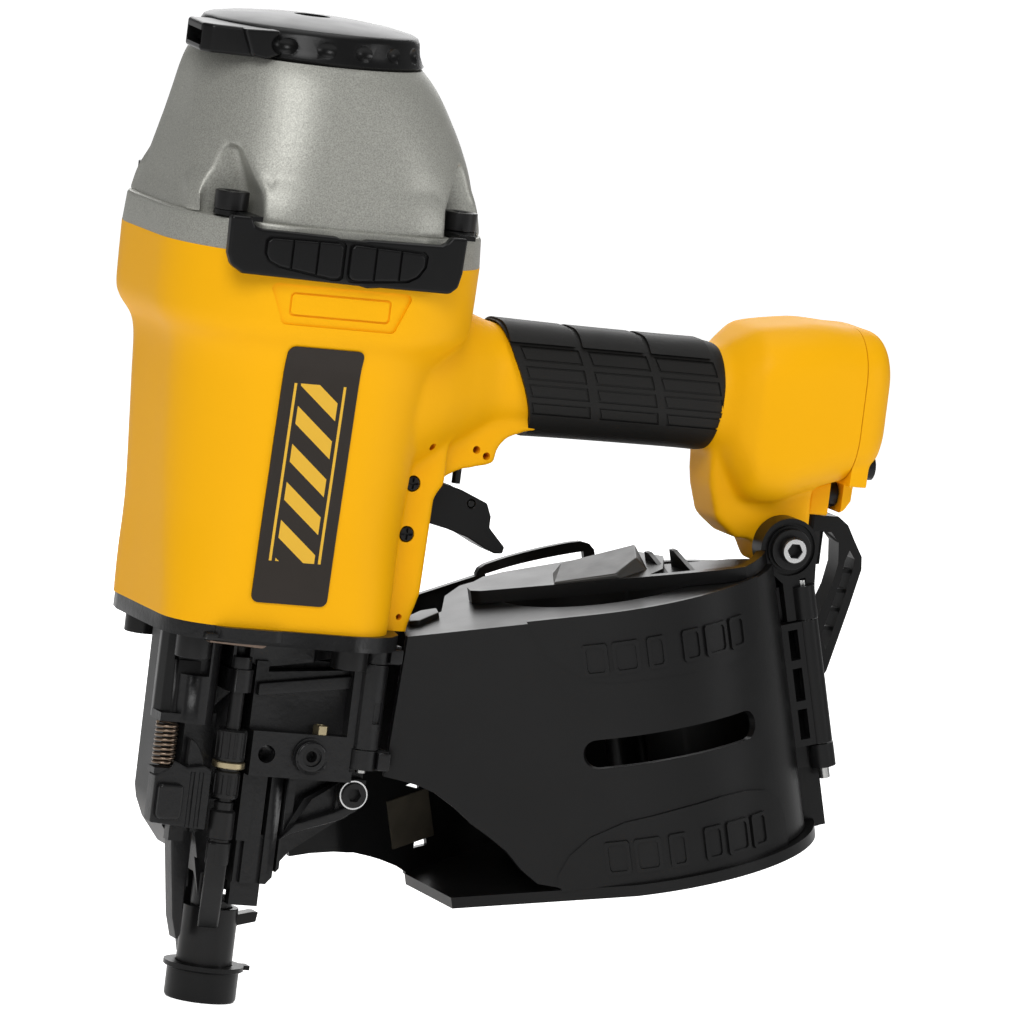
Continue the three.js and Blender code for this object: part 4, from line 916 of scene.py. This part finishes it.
def canister_cover():
    """The swinging cover: round wall, top plate, raised cell groups, slit, and the arm to its hinge."""
    arc = wrap_arc(CAN_R, -115, -26, 72)
    inner_arc = wrap_arc(CAN_R - WALL, -115, -26, 72)
    shell = prism("cover", [(-102, -19.8), (-86, -27)] + arc + inner_arc[::-1] + [(-86, -24.4),
        (-102, -17.2)], 0.4, CAN_H)
    ring = prism("ring", [(-30, 42), (-42, 38), (-52, 26), (-57, 14), (-62, 2), (-80, -8), (-86, -27)] + arc +
                 wrap_arc(40, 128, 334, 90)[::-1], CAN_H - WALL, CAN_H)
    nib = bevel(prism("nib", [(-79, -12), (-76, -14), (-66, -7), (-64, 1), (-70, 2), (-78, -4)],
                      CAN_H - WALL, CAN_H + 2), 0.6, 2)
    shape = join(shell, ring, nib)
    for rise, points in RELIEFS:
        shape = join(shape, on_cover(points, 1, rise))
    shape = cut(shape, *[on_cover(points, depth, 3) for depth, points in GROOVES])
    lower_left = prism("lower", [(-120, -5), (-45, -5), (-46.9, 1.2), (-53.8, 3.4), (-58.5, 9),
        (-62.4, 16.1), (-67, 21.5), (-72.2, 27), (-77, 33.5), (-82.7, 39.6), (-88, 43.2), (-94.4, 46.1),
        (-120, 56)], -70, 0, "Y")
    nose_side = prism("side", [(along_plane(51, -10), -10), (along_plane(51, 110), 110), (-140, 110),
        (-140, -10)], -70, 0, "Y")
    slit = on_cover(rounded_loop(-1.6, 47.6, 34, 5.2, 5, 8), 8, 8)
    shape = cut(shape, lower_left, nose_side, slit)
    arm = block(50, PIN_A, PIN_B - 3.4, PIN_B + 0.6, 28.5, 73.5)
    arm = cut(arm, cone(0, 0, 3, CAN_H, CAN_R - 1, CAN_R - 1, 96),
              *[block(57.6, 61.2, -30, -10, z0, z1) for z0, z1 in ((31, 42), (45, 57), (60, 71))])
    edge = prism("edge", wrap_arc(CAN_R, -28, -20.5, 6) + wrap_arc(CAN_R - WALL, -28, -20.5, 6)[::-1], 28.5,
        73.5)
    shape = join(shape, arm, edge, cone(PIN_A, PIN_B, 28.5, 73.5, 4.4, 4.4))
    shape = cut(shape, cone(PIN_A, PIN_B, 20, 90, 2.3, 2.3))
    place(in_can(bevel(shape, 0.35, 2, 38)), "canister_cover", 36)


def canister_base():
    """The fixed part: floor, far wall with its bail, spindle, hinge stubs and the arm to the handle."""
    tail = [(-104, 19), (-126, 17)]
    outer = wrap_arc(CAN_R, -17, 112, 96) + tail
    inner = wrap_arc(CAN_R - WALL, -17, 112, 96) + [(-104, 16.2), (-126, 14.2)]
    wall = prism("wall", outer + inner[::-1], -0.5, CAN_H)
    wall = cut(wall, block(16, 70, 4, 70, 90, CAN_H + 1))
    bail = prism("bail", outer + inner[::-1], BAIL_FOOT, BAIL_TOP)
    bail = common(bail, prism("bail_side", [(-31, BAIL_FOOT), (-31.4, BAIL_TOP - 3), (-30, BAIL_TOP - 1.4),
        (-27, BAIL_TOP - 0.6), (8, BAIL_TOP), (12, BAIL_TOP - 0.2), (15, BAIL_TOP - 1.6),
        (16.4, BAIL_TOP - 4), (16.4, BAIL_FOOT)], 30, 70, "Y"))
    wall = join(wall, bail)
    lower = prism("lower", [(-130, -10), (-79.5, -10), (-79.5, 0.5), (-82.5, 3.2), (-86, 5.5), (-90, 8),
        (-94, 10.2), (-101, 13.6), (-109, 15.8), (-118, 17.2), (-130, 18)], 5, 60, "Y")
    nose_room = prism("nose_room", [(-160, 54.3), (-101.6, 38.6), (-72.1, 147.7), (-130, 163)], 5, 60, "Y")
    wall = cut(wall, lower, nose_room, block(-27.5, 12.5, 30, 70, BAIL_FOOT, BAIL_TOP - 4))
    wall = cut(wall, prism("window", [(-74.6, 31), (-68.8, 31.4), (-68.6, 28)], 10, 50, "Y"),
               prism("window", [(-74.6, 8), (-73, 12.4), (-68.6, 12), (-68.6, 7.5)], 10, 50, "Y"))
    floor = prism("floor", [(-80, -22)] + wrap_arc(CAN_R + 3.2, -112, 118, 120) + [(-80, 27)], -4, 0)
    notch = prism("notch", [(-90, -40), (-50, -60), (-50, -90), (-90, -90)], -5, 1)
    floor = cut(floor, common(block(-62, -20, -70, 0, -5, 1), notch))
    rib = cut(block(56, 66, -15, -10, -3, 96), cone(0, 0, 1, 100, CAN_R - WALL, CAN_R - WALL, 96))
    foot = prism("foot", [(54, -15.5), (63, -15.5), (63, -8), (56, -8)], -3, 24)
    shape = join(floor, wall, rib, foot, cone(0, 0, -0.5, 70, 8, 6.5))
    for z0, z1 in ((19.5, 28), (74, 86)):
        stub = prism("stub", [(55, -16.8), (57, -9), (67, -9), (70, -20), (67, -24), (63, -18)], z0, z1)
        shape = join(shape, stub, cone(PIN_A, PIN_B, z0, z1, 4.6, 4.6))
    shape = join(shape, hanger_arm())
    shape = cut(shape, block(50, 75, -12.8, 14, 85, 110), cone(PIN_A, PIN_B, 10, 88.6, 2.3, 2.3))
    shape = bevel(shape, 0.5, 2, 40)
    place(in_can(shape), "canister_base", 36)


def hanger_arm():
    x, z = EYE[0] - CAN_X, EYE[1] - CAN_Z
    a = x * math.cos(CAN_TILT) + z * math.sin(CAN_TILT)
    h = z * math.cos(CAN_TILT) - x * math.sin(CAN_TILT)
    web = prism("web", [(58.4, 74), (69, 74), (70.4, 86), (72.6, h - 3), (a + 6, h), (a - 10, h),
        (a - 9, h - 6), (58.4, 88)], -22, -13.2, "Y")
    ring = cross_bar((a, h), -22, -13.2, 11, sides=64)
    well = cut(cross_bar((a, h), -23, -20.8, 9.6, sides=64), cross_bar((a, h), -24, -20, 8.2))
    return cut(join(web, ring), well, cross_bar((a, h), -30, 0, 4.4))


def canister_lid():
    near = [(-47, 0), (-17, -17.3), (6.7, -30.8), (28.5, -43), (36.5, -45.2)]
    near += wrap_arc(CAN_R - 2, -48, -25, 16)
    inner = [(-45, 3), (-15.5, -14), (8.2, -27.5), (29.5, -39), (35.5, -41)]
    inner += wrap_arc(CAN_R - 5.5, -48, -25, 16)
    band = prism("band", near + inner[::-1], CAN_H + 0.3, LID_TOP)
    deck = prism("deck", [(-47, 0), (-17, -17.3), (4, -29.3), (14, -22), (22, -2), (18, 14.6), (0, 20),
        (-30, 24), (-38, 22.5), (-44, 17), (-48.6, 10), (-49.6, 4)], CAN_H + 0.3, LID_TOP)
    shelf = prism("shelf", [(4, -29), (28, -42), (44, -36), (50, -23), (42, -14), (22, -2)], CAN_H + 0.3,
        CAN_H + 2)
    flap = from_data("flap", [(-24, -13, LID_TOP - 0.5), (-2, -24, LID_TOP - 0.5), (10, -18, LID_TOP - 0.5),
        (15, 5, LID_TOP - 0.5), (-18, 6, LID_TOP - 0.5), (-24, -13, LID_TOP + 0.8),
        (-4, -23, LID_TOP + 1.6), (6, -18, LID_TOP + 5), (14, 4, LID_TOP + 5), (-14, 5, LID_TOP + 3.4)],
        [[4, 3, 2, 1, 0], [5, 6, 7, 8, 9], [0, 1, 6, 5], [1, 2, 7, 6], [2, 3, 8, 7], [3, 4, 9, 8],
        [4, 0, 5, 9]])
    # The flap gets a lighter grey that paints in the reflection of the light on its black plastic
    add_on(in_can(bevel(flap, 0.6, 2, 25)), "canister_cover", "flap_painted_reflection")
    shape = join(band, deck, shelf)
    for x, y0, y1 in ((15, -25, -2), (23, -33, -6)):
        side = prism("fin", [(y0, CAN_H + 1), (y1, CAN_H + 1), (y1, LID_TOP + 3), (y1 - 4, LID_TOP + 3)], x,
            x + 1.6, "X")
        shape = join(shape, side)
    place(in_can(bevel(shape, 0.7, 3, 40)), "canister_lid", 30)


# Small fittings and the nose

def side_screws():
    for number, (x, z) in enumerate(SIDE_SCREWS, 1):
        head = cross_bar((x, z), -21.4, -19, 2.55)
        cross = join(block(x - 2, x + 2, -23, -20.3, z - 0.4, z + 0.4),
                     block(x - 0.4, x + 0.4, -23, -20.3, z - 2, z + 2))
        screw = join(cut(bevel(head, 0.5, 3), cross), cross_bar((x, z), -19.2, -11, 2))
        place(screw, f"side_screw_{number}")


def trigger_pin():
    pin = bevel(cross_bar(TRIGGER_PIN, -19.4, 19.4, 2), 0.4, 3)
    place(pin, "trigger_pin")


def front_guard():
    """The guard wraps the nose's front and carries a smooth panel above the latch spring."""
    panel = prism("panel", [(-30.5, -9), (-35.4, -12), (-36, -16), (-34.6, -20.6), (-31.5, -22.8),
        (-21, -23), (-20, -22), (-19.8, -19.4), (-14.6, -19.2), (-14.2, -12), (-22, -8)], 100.8, 132.4)
    panel = cut(bevel(panel, 0.9, 3, 25), cone(-28, -28, 122.6, 134, 7.4, 7.4),
        cone(0, 0, 124.3, 134, 17.6, 21.6), cone(LATCH_X, LATCH_Y, 99, 101.4, 5.4, 5.4))
    shape = join(bevel(cad_copy("front_guard"), 0.9, 3), panel)
    place(shape, "front_guard", 30)


def door_latch():
    body = prism("latch", [(-35.4, 82), (-35.4, 65), (-24, 64.2), (-14.6, 63.6), (-14.6, 85), (-17.6, 86.4),
        (-24, 85.4), (-29, 87.6), (-30, 85)], -25.4, -17.8, "Y")
    body = bevel(body, 0.7, 2)
    flutes = [round_bar((x, -25.6), 60, 84, 0.9) for x in (-21.6, -18.4)]
    body = cut(body, *flutes, cone(LATCH_X, LATCH_Y, 84.7, 90, 5.2, 5.2))
    thumb = bevel(prism("thumb", rounded_loop(-29.6, 73.2, 4.6, 6.2, 1.6, 6), -28.4, -24.6, "Y"), 1.0, 3)
    sweep = [(-22.8, 84), (-22.6, 95.2), (-20.8, 94), (-18.8, 91.6), (-17.4, 88.8), (-16.8, 86), (-17, 84)]
    horn = bevel(prism("horn", sweep, -22.4, -18.2, "Y"), 0.5, 2)
    catch = block(-15.2, -3.4, -19, -17.8, 74, 79)
    seat = block(-36, -29, -25, -17.8, 82.4, 84.5)
    shape = join(body, thumb, horn, catch, seat)
    place(shape, "door_latch", 32)


def fluted(shape, x, y, z0, z1, reach, radius, count, turn=0.0):
    for k in range(count):
        angle = 2 * math.pi * k / count + turn
        shape = cut(shape, cone(x + reach * math.cos(angle), y + reach * math.sin(angle), z0, z1, radius,
            radius, 16))
    return shape


def depth_adjuster():
    """The knurled sleeve on the trip rod, with a fluted skirt below its brass ring."""
    x, y = TRIP_X, TRIP_Y
    sleeve = lathe("sleeve", [(3, 75.6), (4.2, 75.6), (4.6, 76.2), (4.6, 84.8), (4.0, 85.4), (4.0, 86.2),
        (4.9, 88.8), (5.3, 89.4), (5.3, 99.4), (4.8, 100), (3, 100)], x, y, 48)
    sleeve = fluted(sleeve, x, y, 77, 84, 4.9, 0.75, 10, 0.2)
    sleeve = fluted(sleeve, x, y, 90, 99, 5.7, 0.8, 12)
    place(sleeve, "depth_adjuster", 35)
    ring = lathe("adjuster_ring", [(4.05, 86.3), (5.5, 86.3), (5.8, 86.6), (5.8, 88.3), (5.5, 88.6),
        (4.9, 88.7), (4.05, 86.9)], x, y, 48)
    add_on(ring, "depth_adjuster", "worn_brass", 35)


def nose_door():
    """The door over the nail channel: plate, slanted top rib, bar, long ribs and the leaf by the hinge."""
    base = cad_copy("nose_door")
    long_ribs = [block(x0, x1, -15 - rise, -11, 44.8, 84.5) for x0, x1, rise in
                 ((0.9, 2.2, 1.2), (3.2, 9, 2.6), (10.8, 15.2, 2.2), (16.6, 17.8, 1.2))]
    window = block(2, 34, -18.8, -11, 99, 117)
    upper_rib = bevel(prism("rib", [(0.2, 116.4), (34.4, 121.4), (34.4, 116.8), (0.2, 112)], -21.6, -11,
        "Y"), 0.5, 2)
    trim = prism("trim", [(0.8, 44.8), (13, 44.8), (24, 58), (24, 84.5), (0.8, 84.5)], -30, 0, "Y")
    low_ribs = common(join(*long_ribs), trim)
    low_ribs = cut(low_ribs, cone(0, 0, 30, 46, 11.6, 11.6))
    edge = prism("edge", [(15, 60.5), (20, 63.6), (36, 69), (43, 73), (46.3, 77), (45.4, 78.6), (41.6, 75.6),
                          (35, 72.2), (21, 67)], -18.4, -11, "Y")
    shape = join(base, window, upper_rib, low_ribs, bevel(edge, 0.5, 2))
    dome = bevel(cross_bar(DOOR_BUSH, -27.4, -20, 5.4), 0.8, 3)
    dome = cut(dome, cross_bar(DOOR_BUSH, -28, -18, 3.5))
    collar = cut(cross_bar(DOOR_BUSH, -25.4, -20, 6.4),
                 cross_bar(DOOR_BUSH, -26, -18, 3.5))
    shape = join(shape, collar, dome)
    lamp = HINGE_X + 5.4 * math.cos(math.radians(-70)), HINGE_Y + 5.4 * math.sin(math.radians(-70))
    shape = cut(shape, loft("slot", [(105.6, lamp[0], lamp[1], 1.5, 1.5, 1.4),
        (106.8, lamp[0], lamp[1], 1.7, 1.7, 1.6), (112.2, lamp[0], lamp[1], 1.7, 1.7, 1.6),
        (113.4, lamp[0], lamp[1], 1.5, 1.5, 1.4)], straight=True))
    place(bevel(shape, 0.35, 2, 40), "nose_door", 34)
    bush = cut(cross_bar(DOOR_BUSH, -26.6, -18.2, 3.35), cross_bar(DOOR_BUSH, -28, -22, 2))
    add_on(bevel(bush, 0.4, 2), "nose_door", "black_steel")
    nut = cut(cone(25, -21.4, 99.9, 103.2, 2.9, 2.9, 6), cone(25, -21.4, 101, 104, 1.7, 1.7))
    add_on(bevel(nut, 0.3, 2), "nose_door", "worn_brass")


def door_bolt():
    head = cross_bar(DOOR_BOLT, -20.5, -16.2, 4.6)
    flange = cross_bar(DOOR_BOLT, -17.2, -16.2, 5.4)
    shank = cross_bar(DOOR_BOLT, -16.4, -6.4, 2.2)
    socket = cross_bar(DOOR_BOLT, -22, -18, 2.6, sides=6)
    bolt = cut(join(bevel(head, 0.5, 3), flange, shank), socket)
    place(bolt, "door_bolt")
    ring = cut(cross_bar(DOOR_BOLT, -19.6, -18.6, 5.2, sides=64), cross_bar(DOOR_BOLT, -21, -17, 4.65))
    add_on(bevel(ring, 0.2, 2), "nose_door", "ring_steel")


def nose_casting():
    """The casting, with the raised and sunk detail between its guide arm and the door."""
    base = cad_copy("nose_casting")
    lip_step = bevel(block(-30, -6, -46, -38, 133.4, 136), 0.6, 2)
    rails = [block(-25, -19.6, -17.2, -12.2, 58, 66.4), block(-18.2, -15.6, -19.2, -12.2, 62, 64)]
    web = prism("web", [(-19, 133.4), (44, 133.4), (44, 129), (30, 126.4), (8, 122.6), (0, 121.6), (-4, 125)],
                -17.6, -12, "Y")
    web = cut(web, cone(30, -28, 118, 132.9, 14, 14))
    rod_seat = bevel(cone(TRIP_X, TRIP_Y, 121.3, 126, 3.9, 3.9), 0.4)
    neck = block(-12.2, -4.8, -25.4, -12, 121.3, 133.4)
    toe = prism("toe", [(-22.6, 62), (-14.4, 63), (-14.2, 46), (-14.2, 24), (-15.6, 22), (-18, 30)], -12.4,
        -4, "Y")
    ears = [bevel(block(45.6, 50.3, -27.4, -20, z0, z1), 0.6, 2) for z0, z1 in ((127.4, 132.6), (89.4, 95.6))]
    shape = join(base, lip_step, *rails, web, rod_seat, neck, bevel(toe, 0.8, 3), *ears)
    shape = cut(shape, cone(TRIP_X, TRIP_Y, 100, 132, 2.9, 2.9), cone(30, -28, 118, 132.9, 7.3, 7.3),
                block(-14, 1.6, -30, -7.9, 26, 51.5))
    place(bevel(shape, 0.45, 2, 40), "nose_casting", 34)
    worn = bevel(prism("worn", [(-28, 132.2), (-8, 131.4), (-6.4, 132.4), (-8, 133.8), (-27, 134.4)], -43,
        -38.4, "Y"), 0.5, 2)
    add_on(worn, "nose_casting", "worn_edge")


def trip_rod():
    """The rod with its nuts, and the slanted bracket that carries it on the contact foot."""
    x, y = TRIP_X, TRIP_Y
    rod = lathe("rod", [(0, 52), (4, 52), (4.2, 52.4), (4.2, 59.6), (3.6, 60), (3.6, 60.8), (4.5, 61.2),
        (4.5, 70.6), (4, 71.2), (3.4, 71.4), (3.4, 74), (2.6, 74.4), (2.6, 122.2), (2.2, 122.5),
        (0, 122.5)], x, y, 48)
    bracket = prism("bracket", [(-27.6, 60), (-20.4, 60), (-19, 50), (-8.4, 38), (-8.4, 27), (-11.6, 27),
        (-25, 43), (-27.4, 52)], -12.4, -4.6, "X")
    bracket = bevel(bracket, 0.9, 3)
    for vert in bracket.data.vertices:
        vert.co.x += 0.34 * (vert.co.y - TRIP_Y)
    bracket = cut(bracket, cone(0, 0, 20, 45, 10.2, 10.2, 64))
    place(join(rod, bracket), "trip_rod", 34)


def hanger_bolt():
    head = bevel(cross_bar(EYE, -27, -22.3, 4.8), 0.5, 3)
    head = cut(head, cross_bar(EYE, -29, -24.5, 2.6, sides=6))
    washer = bevel(cross_bar(EYE, -24, -22.3, 7.4), 0.4, 2)
    shank = cross_bar(EYE, -22.5, 12, 4)
    place(join(head, washer, shank), "hanger_bolt")
    ring = cut(cross_bar(EYE, -27.2, -26.4, 4.3), cross_bar(EYE, -28, -26, 2.9, sides=6))
    add_on(bevel(ring, 0.15, 2), "hanger_bolt", "ring_steel")


def magazine_plate():
    """A worn pale plate on the inside of the magazine's far wall, beside its lower opening."""
    plan = [(-84, 24.4), (-65, 32.9), (-65, 34.2), (-84, 25.7)]
    plate = bevel(prism("plate", plan, 10, 27.6), 0.3, 2)
    add_on(in_can(plate), "canister_base", "worn_plate")


def valve_stem():
    place(bevel(cad_copy("valve_stem"), 0.3), "valve_stem", material="black_steel")


def plain_copies():
    """Every other CAD piece, with its edges rounded."""
    widths = {"trip_arm": 0.5, "rafter_hook": 0.7, "trigger": 1.2}
    for node in SLOT_OF:
        if node not in placed:
            place(bevel(cad_copy(node), widths.get(node, 0.3)), node)


housing()
head_cap()
bumper(-1)
bumper(1)
deflector()
grip()
end_cap()
side_label()
springs()
canister_cover()
canister_base()
canister_lid()
side_screws()
trigger_pin()
front_guard()
door_latch()
depth_adjuster()
nose_door()
door_bolt()
nose_casting()
trip_rod()
hanger_bolt()
magazine_plate()
valve_stem()
plain_copies()


# Stage, light and camera

def backdrop():
    """A world that is white to the camera and dimmer to everything it lights."""
    world = bpy.data.worlds.new("studio")
    world.use_nodes = True
    tree = world.node_tree
    background = tree.nodes["Background"]
    background.inputs["Color"].default_value = (1, 1, 1, 1)
    path = tree.nodes.new("ShaderNodeLightPath")
    span = tree.nodes.new("ShaderNodeMapRange")
    span.inputs["To Min"].default_value = 0.17
    span.inputs["To Max"].default_value = 1.0
    tree.links.new(path.outputs["Is Camera Ray"], span.inputs["Value"])
    tree.links.new(span.outputs["Result"], background.inputs["Strength"])
    bpy.context.scene.world = world
    bpy.context.scene.view_settings.view_transform = "Standard"


def studio():
    n = Nodes("pale_floor")
    floor_color = n.mix(n.noise(3, 2), (0.80, 0.80, 0.80), (0.84, 0.84, 0.84))
    seen = n.add("ShaderNodeLightPath").outputs["Is Camera Ray"]
    n.set(Base_Color=floor_color, Roughness=0.7, Emission_Color=(1.0, 1.0, 1.0),
          Emission_Strength=n.span(seen, 0.4, 0.95))
    size = 14
    mesh = bpy.data.meshes.new("floor")
    mesh.from_pydata([(-size, -size, 0), (size, -size, 0), (size, size, 0), (-size, size, 0)], [],
        [[0, 1, 2, 3]])
    floor = new_object("floor", mesh)
    mesh.materials.append(n.material)
    backdrop()
    lamps = [
        ("key", (-0.75, -1.3, 1.2), 0.8, 15),
        ("fill", (1.3, -1.0, 0.6), 0.6, 5),
        ("top", (0.0, 0.15, 1.6), 1.1, 8),
        ("back", (0.5, 1.5, 0.9), 1.2, 10),
    ]
    for name, where, size, power in lamps:
        light = bpy.data.lights.new(name, "AREA")
        light.energy = power
        light.size = size
        lamp = bpy.data.objects.new(name, light)
        collection.objects.link(lamp)
        lamp.location = where
        lamp.rotation_mode = "QUATERNION"
        lamp.rotation_quaternion = (Vector((0, 0, 0.18)) - Vector(where)).to_track_quat("-Z", "Y")


def camera():
    data = bpy.data.cameras.new("camera")
    data.lens = 402.65
    data.sensor_width = 36
    data.clip_end = 60
    cam = bpy.data.objects.new("camera", data)
    collection.objects.link(cam)
    place_mm = Vector((-1343.25 + DRIVER_X, -3714.89, 619.37))
    forward = Vector((0.35821, 0.92728, -0.10879)).normalized()
    right = Vector((0.93042, -0.34487, 0.12404)).normalized()
    up = right.cross(forward)
    cam.matrix_world = Matrix((
        (right.x, up.x, -forward.x, place_mm.x / 1000),
        (right.y, up.y, -forward.y, place_mm.y / 1000),
        (right.z, up.z, -forward.z, place_mm.z / 1000),
        (0, 0, 0, 1)))
    bpy.context.scene.camera = cam


studio()
camera()
